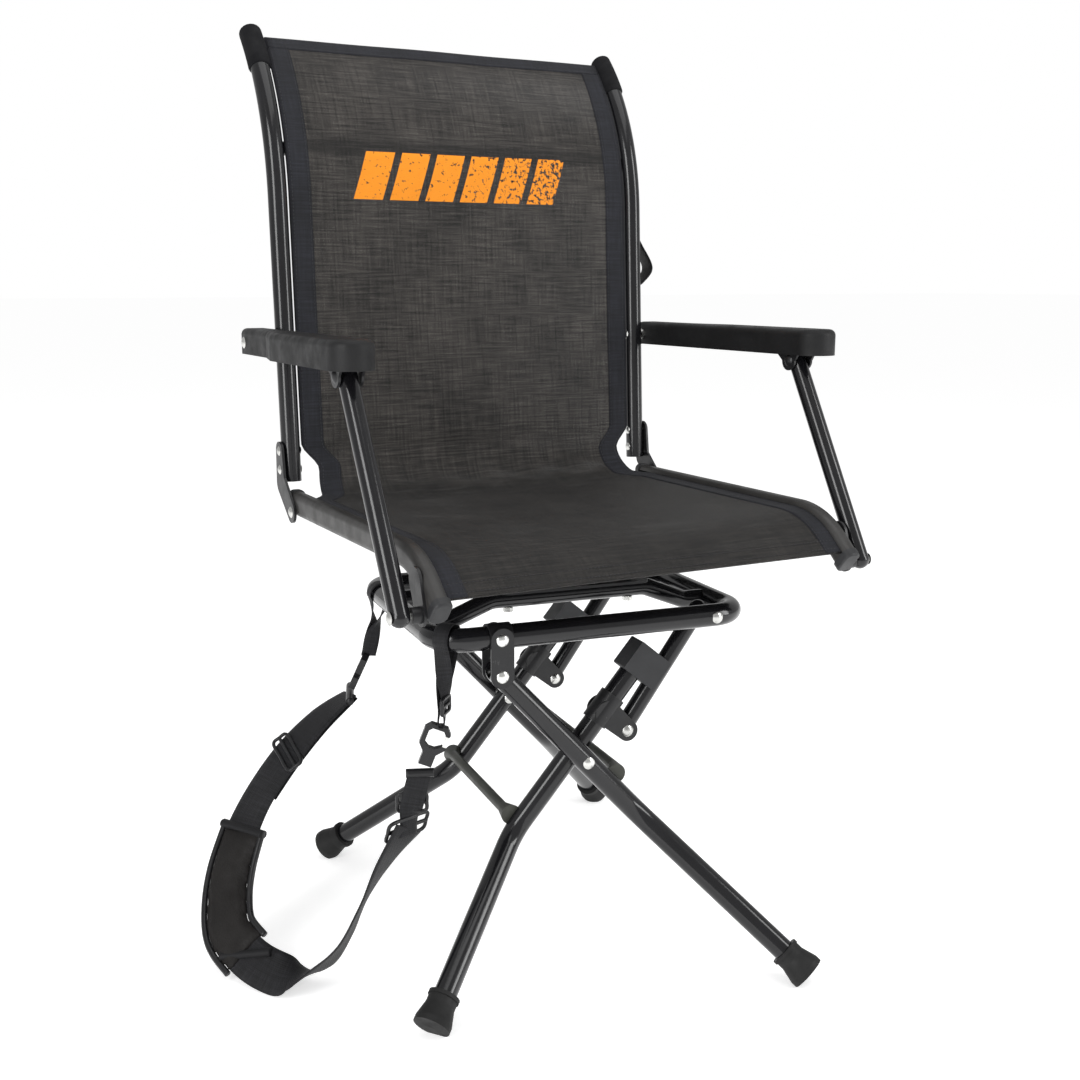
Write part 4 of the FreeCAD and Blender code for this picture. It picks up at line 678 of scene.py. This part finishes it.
# %% The line of the sling
SEAT_EDGE = 0.2365          # half width over the seat rails' slots
BACK_EDGE = 0.2245          # half width between the back rails' hems
SLING_THICKNESS = 0.0016
SEAT_LEVEL = 0.4895
ROLL = 0.101                # radius of the mesh where it follows the rails' bend
ROLL_ANGLE = math.radians(41)
ROLL_Y = -0.150             # where the flat seat starts to roll down
FRONT_FLAT = 0.019          # straight mesh past the roll
SEAT_RUN = 0.290            # flat length of the seat
LEAN = math.radians(3)
TOP_LEAN = math.radians(42)
BACK_Y, HINGE_HEIGHT = 0.1932, 0.506        # the back's plane passes here and leans by LEAN
BACK_START, BEND_HEIGHT = 0.548, 0.830      # the back is straight between these heights
BEND_RADIUS = 0.300                         # then it curves away to the top
KNEE = [(0.1280, 0.4895), (0.1400, 0.4895), (0.1640, 0.4925), (0.1830, 0.5060), (0.1915, 0.5240),
        (0.1955, 0.5420), (0.1966, 0.5630)]


def top_bend(start_y, turn):
    """(y, z) on the curve of the back's top, where its direction leans by turn."""
    return (start_y + BEND_RADIUS * (math.cos(LEAN) - math.cos(turn)),
            BEND_HEIGHT + BEND_RADIUS * (math.sin(turn) - math.sin(LEAN)))


def side_line():
    """(y, z) down the middle of the panel, from the front edge to the top hem."""
    rolled = []
    for k in range(10):
        turn = ROLL_ANGLE * (1 - k / 9)
        rolled.append((ROLL_Y - ROLL * math.sin(turn), SEAT_LEVEL - ROLL * (1 - math.cos(turn))))
    nose_y, nose_z = rolled[0]
    line = []
    for k in range(4):
        out = FRONT_FLAT * (1 - k / 4)
        line.append((nose_y - out * math.cos(ROLL_ANGLE), nose_z - out * math.sin(ROLL_ANGLE)))
    line += rolled[:9]
    line += [(ROLL_Y + SEAT_RUN * k / 24, SEAT_LEVEL) for k in range(25)]
    bend = smooth_line([Vector((0.0, *p)) for p in KNEE], 0.006)
    line += [(p.y, p.z) for p in bend if 0.1405 < p.y and p.z < 0.545]
    for k in range(33):
        height = BACK_START + (BEND_HEIGHT - BACK_START) * k / 32
        line.append((BACK_Y + (height - HINGE_HEIGHT) * math.tan(LEAN), height))
    top_y = BACK_Y + (BEND_HEIGHT - HINGE_HEIGHT) * math.tan(LEAN)
    return line + [top_bend(top_y, LEAN + (TOP_LEAN - LEAN) * k / 24) for k in range(1, 25)]


def lengths(line):
    total = [0.0]
    for (y0, z0), (y1, z1) in zip(line, line[1:]):
        total.append(total[-1] + math.hypot(y1 - y0, z1 - z0))
    return total


sling_line = side_line()
sling_run = lengths(sling_line)
knee_run = min(run for run, (y, z) in zip(sling_run, sling_line) if z > 0.500 and y > 0.17)
PANEL_LENGTH = sling_run[-1]
print("panel length", round(PANEL_LENGTH, 3), "knee at", round(knee_run, 3))

# %% [markdown]
# The panel's half width changes along it: full over the seat, cut in round each hinge, and a little
# narrower between the back rails. The sag is greatest in the middle of the seat and of the back,
# where a sitter has stretched it, and shallow creases cross the knee.

# %% The panel
CUT_REACH = 0.052           # how far a hinge's cut-out reaches either way along the panel
CUT_DEPTH = 0.022
COLUMNS = 72
SEAT_SAG, BACK_SAG = 0.0075, 0.0065
CREASE, CREASE_REACH = 0.0011, 0.03         # the folds across the knee: height, and reach along the panel
SLACK = 0.0004                              # faint waves all over


def ease(t):
    t = min(1.0, max(0.0, t))
    return t * t * (3 - 2 * t)


def half_width(run):
    """Half the panel's width at a distance along it; the hinge cut-outs pull it in at the knee."""
    seat_to_back = ease((run - knee_run + CUT_REACH) / (2 * CUT_REACH))
    plain = SEAT_EDGE + (BACK_EDGE - SEAT_EDGE) * seat_to_back
    near = 1 - abs(run - knee_run) / CUT_REACH
    return plain - CUT_DEPTH * ease(near * 1.6)


def sling_point(u, run, y, z, ny, nz):
    """A point of the panel: u is -1..1 across; (ny, nz) is the panel's direction towards the sitter."""
    bowl = (1 - u * u)
    seat_share = 1 - ease((run - knee_run + 0.06) / 0.12)
    back_share = ease((run - knee_run - 0.02) / 0.16)
    seat_sag = SEAT_SAG * seat_share * ease(run / 0.10) * bowl
    up_the_back = math.sin(math.pi * min(1.0, (run - knee_run) / 0.5))
    back_sag = BACK_SAG * back_share * bowl * (0.35 + 0.65 * up_the_back)
    back_sag *= 1 - ease((run - PANEL_LENGTH + 0.25) / 0.16)
    knee = math.exp(-((run - knee_run) / CREASE_REACH) ** 2)
    ripple = knee * CREASE * math.sin(u * 19 + 2.0 * math.sin(run * 60)) * (1 - u ** 8)
    ripple += SLACK * math.sin(u * 7 + run * 9) * math.sin(run * 21) * bowl
    sunk = seat_sag + max(0.0, back_sag) - ripple
    return Vector((u * half_width(run), y - ny * sunk, z - nz * sunk))


REAR_MAP = 3.9              # the rear face's own place on the map, so that the print stays in front


def sling_rows():
    rows, maps = [], []
    for k, ((y, z), run) in enumerate(zip(sling_line, sling_run)):
        (y0, z0), (y1, z1) = sling_line[max(0, k - 1)], sling_line[min(len(sling_line) - 1, k + 1)]
        long = math.hypot(y1 - y0, z1 - z0)
        ny, nz = -(z1 - z0) / long, (y1 - y0) / long
        middle = [sling_point(-1 + 2 * c / COLUMNS, run, y, z, ny, nz) for c in range(COLUMNS + 1)]
        normal = Vector((0.0, ny, nz)) * (SLING_THICKNESS / 2)
        ring = [p + normal for p in middle] + [p - normal for p in reversed(middle)]
        rows.append(ring)
        flat = [(p.x, run) for p in middle]
        maps.append(flat + [(x + REAR_MAP, along) for x, along in reversed(flat)])
    return rows, maps


rows, maps = sling_rows()
sling = shell("sling_panel", rows, sling_mesh, maps=maps)
print("sling faces", len(sling.data.polygons), "box", [round(v, 3) for v in sling.dimensions])

# %% [markdown]
# ## Hems
# Each edge of the panel is bound: a twill tape along both sides, and a turned hem at the front and at
# the top. A hem is a thin closed patch that wraps the panel's edge a little above its surface, so it
# is made from the same formula as the panel, between two limits across and two limits along.

# %% Points anywhere on the panel
def panel_at(run):
    """Side-view point and normal at any distance along the panel, also just past its ends."""
    k = 0
    while k < len(sling_run) - 2 and sling_run[k + 1] < run:
        k += 1
    t = (run - sling_run[k]) / (sling_run[k + 1] - sling_run[k])
    (y0, z0), (y1, z1) = sling_line[k], sling_line[k + 1]
    long = math.hypot(y1 - y0, z1 - z0)
    return y0 + (y1 - y0) * t, z0 + (z1 - z0) * t, -(z1 - z0) / long, (y1 - y0) / long


def on_panel(x, run, lift):
    y, z, ny, nz = panel_at(run)
    point = sling_point(x / half_width(run), run, y, z, ny, nz)
    return point + Vector((0.0, ny, nz)) * lift


def hem(name, stations, across, lift, material):
    """A patch over the panel. stations run along its length; across gives its x places at a station."""
    rings, mapped = [], []
    for run in stations:
        xs = across(run)
        rings.append([on_panel(x, run, lift) for x in xs] + [on_panel(x, run, -lift) for x in reversed(xs)])
        flat = [(x, run) for x in xs]
        mapped.append(flat + flat[::-1])
    return shell(name, rings, material, maps=mapped)


def span(first, last, step):
    count = max(2, round(abs(last - first) / step))
    return [first + (last - first) * k / count for k in range(count + 1)]

# %% Side tapes, front hem and top hem
TAPE_WIDTH = 0.027
TAPE_LIFT = SLING_THICKNESS / 2 + 0.0007    # each binding lies a little above the panel's face
HEM_LIFT = SLING_THICKNESS / 2 + 0.0005
FRONT_HEM, TOP_HEM = 0.019, 0.016           # how far each turned hem reaches
SIDES = (("left", -1), ("right", 1))
hems = []
for side, sign in SIDES:
    def tape_places(run, sign=sign):
        edge = half_width(run) + 0.0007
        return [sign * (edge - TAPE_WIDTH + TAPE_WIDTH * k / 5) for k in range(6)]
    hems.append(hem(f"side_tape_{side}", span(-0.0006, PANEL_LENGTH + 0.0006, 0.0065), tape_places,
                    TAPE_LIFT, hem_tape))


def whole_width(run):
    edge = half_width(run) - 0.001
    return [edge * (-1 + 2 * k / 48) for k in range(49)]


hems.append(hem("front_hem", span(-0.0012, FRONT_HEM, 0.004), whole_width, HEM_LIFT, sling_mesh))
hems.append(hem("top_hem", span(PANEL_LENGTH - TOP_HEM, PANEL_LENGTH + 0.0014, 0.003), whole_width,
                HEM_LIFT + 0.0003, hem_tape))
print("hems", [h.name for h in hems])

# %% Seam stitches
SEAM_LIFT = TAPE_LIFT + 0.0001
seams = []
for sign in (-1, 1):
    for inset in (0.0035, TAPE_WIDTH - 0.003):
        seams.append([on_panel(sign * (half_width(run) - inset), run, SEAM_LIFT)
                      for run in span(0.004, PANEL_LENGTH - 0.004, 0.004)])
for run in (0.0045, 0.0155, PANEL_LENGTH - 0.0135):
    seams.append([on_panel(half_width(run) * (-0.95 + 1.9 * k / 90), run, SEAM_LIFT) for k in range(91)])
panel_stitches = stitches("panel_stitches", seams)

# %% [markdown]
# ## Corner pockets
# At each top corner the panel is sewn into a small sleeve that slips over the end of the back rail.
# A swept round bar with a closed, rounded end gives that shape; it is a little larger than the rail.

# %% Corner pockets
POCKET_RADIUS = 0.0132
POCKET_PAST_RAIL = 0.0105
RAIL_X, RAIL_BEND_Y = 0.238, 0.2117         # the back rails' middle, and where their top bend starts
pockets = []
for side, sign in SIDES:
    turns = [math.radians(33.0 + 9.0 * k / 5) for k in range(6)]
    path = [Vector((sign * RAIL_X, *top_bend(RAIL_BEND_Y, turn))) for turn in turns]
    along = Vector((0.0, math.sin(TOP_LEAN), math.cos(TOP_LEAN)))
    path.append(path[-1] + along * POCKET_PAST_RAIL)
    pocket = rod(f"top_pocket_{side}", path, POCKET_RADIUS, pocket_cloth, step=0.004, sides=20)
    add_modifier(pocket, "BEVEL", width=0.0035, segments=3, limit_method="ANGLE")
    settle(pocket)
    pockets.append(pocket)
print("pockets", len(pockets))

# %% [markdown]
# ## The shoulder strap
# A webbing strap hangs from the stand: two narrow loops round the ring tube, a snap hook on each,
# and one long webbing between them that carries a sliding pad. The stand is turned a little under
# the seat, so its pieces are laid out square to the stand and then turned about the swivel axis.
# The webbing is a flat band along one smooth line, whose width turns on the way.

# %% The webbing
STAND_TURN = Matrix.Rotation(math.radians(-6.5), 3, "Z")


def stand(points):
    return [STAND_TURN @ Vector(p) for p in points]


SIDE_WAY = Vector((0.25, 0.97, 0.05))
FRONT_WAY = Vector((0.96, -0.26, 0.0))
REAR_WAY = Vector((-0.15, 0.93, 0.35))
PAD_WAY = Vector((-0.80, 0.55, -0.20))
RISE_WAY = Vector((-0.50, -0.86, 0.05))
TOP_WAY = Vector((-0.90, -0.41, 0.0))
STRAP_WIDTH, STRAP_THICKNESS = 0.046, 0.0026
strap_points = stand([
    (-0.2105, 0.108, 0.256), (-0.250, 0.100, 0.232), (-0.290, 0.088, 0.199), (-0.325, 0.074, 0.162),
    (-0.350, 0.058, 0.127), (-0.368, 0.036, 0.092), (-0.378, 0.012, 0.064), (-0.380, -0.016, 0.042),
    (-0.368, -0.046, 0.028), (-0.350, -0.072, 0.020), (-0.327, -0.092, 0.017), (-0.300, -0.104, 0.028),
    (-0.276, -0.112, 0.057), (-0.256, -0.118, 0.100), (-0.232, -0.122, 0.144), (-0.207, -0.124, 0.178)])
strap_ways = ([SIDE_WAY.lerp(REAR_WAY, t) for t in (0.0, 0.6)] + [REAR_WAY]
              + [REAR_WAY.lerp(PAD_WAY, t) for t in (0.25, 0.6, 0.9)] + [PAD_WAY] * 3
              + [PAD_WAY.lerp(RISE_WAY, t) for t in (0.1, 0.3, 0.55, 0.85)] + [RISE_WAY]
              + [RISE_WAY.lerp(TOP_WAY, t) for t in (0.5, 1.0)])
strap_ways = [STAND_TURN @ way.normalized() for way in strap_ways]
strap = band("shoulder_webbing", strap_points, strap_ways, STRAP_WIDTH, STRAP_THICKNESS, webbing)
print("webbing length", round(strap["length"], 3))

# %% The doubled webbing and its tail
def beside(points, ways, offset):
    """The same line moved square to the strap, towards its outer face."""
    moved = []
    for here, way, side in zip(points, tangents(points), ways):
        moved.append(here + way.cross(side).normalized() * offset)
    return moved


doubled = band("webbing_return", beside(strap_points[:4], strap_ways[:4], 0.0036), strap_ways[:4],
               STRAP_WIDTH * 0.98, STRAP_THICKNESS, webbing)
NARROW_WIDTH = 0.024
BAR_SPOTS = (-1, -0.5, 0, 0.5, 1)


def across_bar(middle, way, half):
    return [middle + way * (half * u) for u in BAR_SPOTS]


tail_points = stand([(-0.2075, -0.1235, 0.170), (-0.2065, -0.1245, 0.188), (-0.2035, -0.1270, 0.206),
                     (-0.1995, -0.1290, 0.224), (-0.1955, -0.1300, 0.2395)])
tail_ways = [STAND_TURN @ way.normalized() for way in (TOP_WAY, TOP_WAY, -FRONT_WAY, -FRONT_WAY, -FRONT_WAY)]
tail = band("narrow_webbing", tail_points, tail_ways, NARROW_WIDTH, STRAP_THICKNESS, webbing)
bars = []
for label, middle, way, half in (("rear", strap_points[0], strap_ways[0], 0.0275),
                                 ("front", tail_points[-1], tail_ways[-1], 0.0145)):
    bars.append(rod(f"webbing_bar_{label}", across_bar(middle, way, half), 0.0048, hook_plastic, sides=14))
print("doubled", round(doubled["length"], 3), "tail", round(tail["length"], 3))

# %% Sliders on the webbing
SLIDER_WIRE = 0.0021
SLIDER_OUT = 0.0026         # from the webbing's middle to the slider's
CORNER_PULL = 0.92          # rounds the corners


def frame_slider(name, middle, way, along, width, height):
    """A wire slider: a closed rectangle with rounded corners and one bar across its middle."""
    side = way.normalized()
    rise = square_to(along, side)
    centre = middle + side.cross(rise) * SLIDER_OUT
    corners = []
    for u, w in ((-1, -1), (0, -1), (1, -1), (1, 0), (1, 1), (0, 1), (-1, 1), (-1, 0)):
        pull = CORNER_PULL if u and w else 1.0
        corners.append(centre + side * (u * pull * width / 2) + rise * (w * pull * height / 2))
    middle_bar = [centre + side * (u * width / 2) for u in (-1, 0, 1)]
    return [rod(name, corners, SLIDER_WIRE, hook_plastic, closed=True, sides=10),
            rod(name + "_bar", middle_bar, SLIDER_WIRE, hook_plastic, sides=10)]


sliders = []
for label, middle, way, along, width, height in (
        ("strap", strap_points[2], strap_ways[2], strap_points[3] - strap_points[1], 0.054, 0.020),
        ("triglide", strap_points[15], strap_ways[15], strap_points[15] - strap_points[14], 0.052, 0.024),
        ("narrow", tail_points[2], tail_ways[2], tail_points[3] - tail_points[1], 0.030, 0.020),
        ("loop", STAND_TURN @ Vector((-0.1715, -0.1370, 0.312)), STAND_TURN @ Vector((0.6, 0.8, 0.0)),
         Vector((0.0, 0.0, 1.0)), 0.023, 0.016)):
    sliders += frame_slider(f"{label}_slider", middle, way, along, width, height)
print("slider pieces", len(sliders))

# %% [markdown]
# ## The shoulder pad
# The pad is a sewn foam sleeve round the webbing. It starts as a thin band, is remeshed, and a short
# cloth simulation with inner pressure swells it; each point may move only a few millimetres. Then a
# piped edge is laid along both sides, because the remesh would erase anything so narrow.

# %% Swell a soft piece
VOXEL = 0.004
PRESSURE = 4.0
SWELL_FRAMES = 20


def swell(piece, cap):
    add_modifier(piece, "REMESH", mode="VOXEL", voxel_size=VOXEL)
    settle(piece)
    start = [v.co.copy() for v in piece.data.vertices]
    cloth = add_modifier(piece, "CLOTH")
    cloth.settings.quality = 6
    cloth.settings.mass = 0.2
    cloth.settings.use_pressure = True
    cloth.settings.uniform_pressure_force = PRESSURE
    cloth.settings.effector_weights.gravity = 0.0
    scene = bpy.context.scene
    for frame_number in range(1, SWELL_FRAMES + 1):
        scene.frame_set(frame_number)
    puffed = piece.evaluated_get(bpy.context.evaluated_depsgraph_get()).to_mesh()
    ends_at = [v.co.copy() for v in puffed.vertices]
    piece.modifiers.clear()
    scene.frame_set(1)
    moved = 0.0
    for vertex, before, after in zip(piece.data.vertices, start, ends_at):
        step = after - before
        if step.length > cap:
            step *= cap / step.length
        vertex.co = before + step
        moved = max(moved, step.length)
    add_modifier(piece, "SUBSURF", levels=1, render_levels=1)
    settle(piece)
    for face in piece.data.polygons:
        face.use_smooth = True
    print(piece.name, "moved up to", round(moved, 4))

# %% The pad and its piping
PAD_PLACES = slice(4, 9)    # the strap's points that the pad lies on
PAD_WIDTH, PAD_THICKNESS, PAD_SWELL = 0.056, 0.0075, 0.0028
PIPING_OUT, PIPING_RADIUS = 0.0275, 0.0036
pad_points, pad_ways = strap_points[PAD_PLACES], strap_ways[PAD_PLACES]
pad = band("shoulder_pad", pad_points, pad_ways, PAD_WIDTH, PAD_THICKNESS, pad_cover, step=0.004)
swell(pad, PAD_SWELL)
pad.data.materials.clear()
pad.data.materials.append(pad_cover)


piping = []
for label, sign in (("front", -1), ("back", 1)):
    line = [here + side * (sign * PIPING_OUT) for here, _, side in turning_line(pad_points, pad_ways, 0.008)]
    piping.append(rod(f"pad_piping_{label}", line, PIPING_RADIUS, hook_plastic, sides=10))
pad_bars = []
for label, at in (("upper", 0), ("lower", -1)):
    line = across_bar(pad_points[at], pad_ways[at], 0.030)
    pad_bars.append(rod(f"pad_end_{label}", line, 0.0062, webbing, flat=0.8, sides=12))
print("pad pieces", 1 + len(piping) + len(pad_bars))

# %% [markdown]
# ## Hanging loops
# A narrow webbing loop goes over the ring tube and down through each snap hook. It is a closed band:
# round over the tube, then its two legs come together at the hook.

# %% Closed bands
LOOP_WIDTH, CARRY_WIDTH = 0.017, 0.025
LOOP_SPOTS = (-1.0, -0.6, 0.0, 0.6, 1.0)
LEGS = ((0.55, 0.0042), (0.80, 0.0034), (0.97, 0.0032))    # share of the way down, half the gap there


def soft_edged(u):
    return 0.5 if abs(u) == 1 else 1.0


def loop_band(name, points, ways, width, thickness):
    return band(name, points, ways, width, thickness, webbing, step=0.003, spots=LOOP_SPOTS,
                fullness=soft_edged, closed=True)


def hanging_loop(name, tube, tube_way, foot, foot_way, radius):
    """A loop over a tube at one point and down to a foot; tube_way runs along the tube."""
    down = (foot - tube).normalized()
    out = tube_way.cross(down).normalized()
    points, ways = [], []
    for angle in (-60, -20, 20, 60, 100, 140, 180, 220):
        turn = math.radians(angle - 80)
        points.append(tube + out * (radius * math.sin(turn)) - down * (radius * math.cos(turn)))
        ways.append(tube_way)
    foot_out = foot_way.cross(down).normalized()
    for share, gap in (*LEGS, (1.0, 0.0), *[(share, -gap) for share, gap in reversed(LEGS)]):
        points.append(tube.lerp(foot, share) + foot_out.lerp(out, 1 - share) * gap)
        ways.append(tube_way.lerp(foot_way, share))
    return loop_band(name, points, ways, LOOP_WIDTH, 0.0016)

# %% The two hanging loops and the carry loop
rear_tube, rear_foot, rear_tube_way, rear_foot_way = stand([
    (-0.174, 0.092, 0.378), (-0.1885, 0.1005, 0.3035), (0.0, 1.0, 0.0), (0.93, -0.36, 0.0)])
front_tube, front_foot, front_tube_way, front_foot_way = stand([
    (-0.1633, -0.1273, 0.378), (-0.1750, -0.1395, 0.2905), (1.0, -1.0, 0.0), (0.3, 0.95, 0.0)])
rear_loop = hanging_loop("hanging_loop_rear", rear_tube, rear_tube_way, rear_foot, rear_foot_way, 0.0146)
front_loop = hanging_loop("hanging_loop_front", front_tube, front_tube_way.normalized(), front_foot,
                          front_foot_way, 0.0166)
carry_points = [Vector(p) for p in (
    (0.2505, 0.223, 0.789), (0.2560, 0.223, 0.782), (0.2700, 0.224, 0.762), (0.2715, 0.224, 0.750),
    (0.2600, 0.222, 0.738), (0.2505, 0.221, 0.7335), (0.2500, 0.222, 0.752), (0.2500, 0.222, 0.771))]
carry = loop_band("carry_loop_webbing", carry_points, [Vector((0.0, 1.0, 0.0))] * 8, CARRY_WIDTH, 0.002)
for loop in (rear_loop, front_loop, carry):
    print(loop.name, round(loop["length"], 3))

# %% [markdown]
# ## Each piece on its body
# The sling, its stitches and its hems cross the back's fold; they stay where they are built. The strap
# hangs from the stand. The carry loop and the corner pockets ride the back. The CAD pieces that these
# stand for are hidden, and the hooks, their gates and the armrests get their finishes.

# %% Bodies, hidden parts and finishes
for piece in [sling, panel_stitches, *hems]:
    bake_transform(piece)
for piece in [strap, doubled, tail, pad, rear_loop, front_loop, *piping, *pad_bars, *bars, *sliders]:
    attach(piece, "base")
for piece in [carry, *pockets]:
    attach(piece, "back")
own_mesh(carry)

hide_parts("seat_sling", "back_sling")
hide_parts("strap_webbing")
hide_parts("strap_pad")
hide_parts("strap_buckles")
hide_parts("strap_loops")
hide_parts("carry_loop")

dress(["snap_hooks"], hook_plastic)
dress(["snap_gate_rear", "snap_gate_front"], bright_zinc)
dress(["armrest_left", "armrest_right"], arm_plastic)

# %% [markdown]
# ## Floor, light and camera
# A pale floor and an even, bright surround show dark pieces by their highlights. The surround looks
# white but lights the chair less than that, as black flags beside a lamp would make it. Two tall
# soft lights at the sides draw the long streaks down every tube, and a broad one fills the top.

# %% The stage
FLOOR = 60.0                # half the floor's width
FLOOR_GLOW = 0.45
SURROUND_LIGHT = 0.55
floor_mesh = bpy.data.meshes.new("floor")
floor_mesh.from_pydata([(-FLOOR, -FLOOR, 0), (FLOOR, -FLOOR, 0), (FLOOR, FLOOR, 0), (-FLOOR, FLOOR, 0)], [],
                       [(0, 1, 2, 3)])
floor = link_object("floor", floor_mesh)
floor_paint, _, floor_shader = new_material("floor_paint")
set_inputs(floor_shader, {
    "Base Color": (0.97, 0.97, 0.97, 1.0), "Roughness": 1.0, "Specular IOR Level": 0.0,
    "Emission Color": (1.0, 1.0, 1.0, 1.0), "Emission Strength": FLOOR_GLOW})
floor_mesh.materials.append(floor_paint)

world = bpy.data.worlds.new("surround")
world.use_nodes = True
sky = world.node_tree
sky.nodes["Background"].inputs["Color"].default_value = (1.0, 1.0, 1.0, 1.0)
seen = add_node(sky, "ShaderNodeLightPath").outputs["Is Camera Ray"]
strength = calc(sky, "ADD", SURROUND_LIGHT, calc(sky, "MULTIPLY", seen, 1.0 - SURROUND_LIGHT))
sky.links.new(strength, sky.nodes["Background"].inputs["Strength"])
bpy.context.scene.world = world
bpy.context.scene.view_settings.view_transform = "Standard"


def soft_light(name, place, target, size, power):
    lamp = bpy.data.lights.new(name, "AREA")
    lamp.shape = "RECTANGLE"
    lamp.size, lamp.size_y = size
    lamp.energy = power
    light = link_object(name, lamp)
    light.location = place
    light.rotation_euler = (Vector(target) - Vector(place)).to_track_quat("-Z", "Y").to_euler()
    return light


lights = [
    soft_light("left_strip", (-2.4, -1.2, 1.4), (0.0, 0.0, 0.55), (0.9, 2.2), 46.0),
    soft_light("right_strip", (2.0, -2.0, 1.5), (0.0, 0.0, 0.55), (0.8, 2.2), 40.0),
    soft_light("overhead", (0.2, -0.4, 3.0), (0.0, 0.0, 0.5), (2.4, 2.4), 26.0),
]

# %% The camera
lens = bpy.data.cameras.new("camera")
lens.sensor_width = 36.0
lens.lens = 44.13
lens.shift_x, lens.shift_y = 0.0049, 0.0044
camera = link_object("camera", lens)
camera.location = (-0.7124, -1.3048, 0.7373)
turn, dip = math.radians(28.03), math.radians(11.27)
view = Vector((math.sin(turn) * math.cos(dip), math.cos(turn) * math.cos(dip), -math.sin(dip)))
camera.rotation_euler = view.to_track_quat("-Z", "Y").to_euler()
bpy.context.scene.camera = camera
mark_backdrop(floor, camera, *lights)

# %% [markdown]
# ## Sizes
# Both boxes, the CAD model's and the visual model's, are printed. The visual model has to
# fill the same box as the CAD model.

# %% Sizes and finish
visual_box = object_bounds()
for label, box in (("CAD box", cad_box), ("visual box", visual_box)):
    print(label, [[round(float(v), 3) for v in corner] for corner in box])
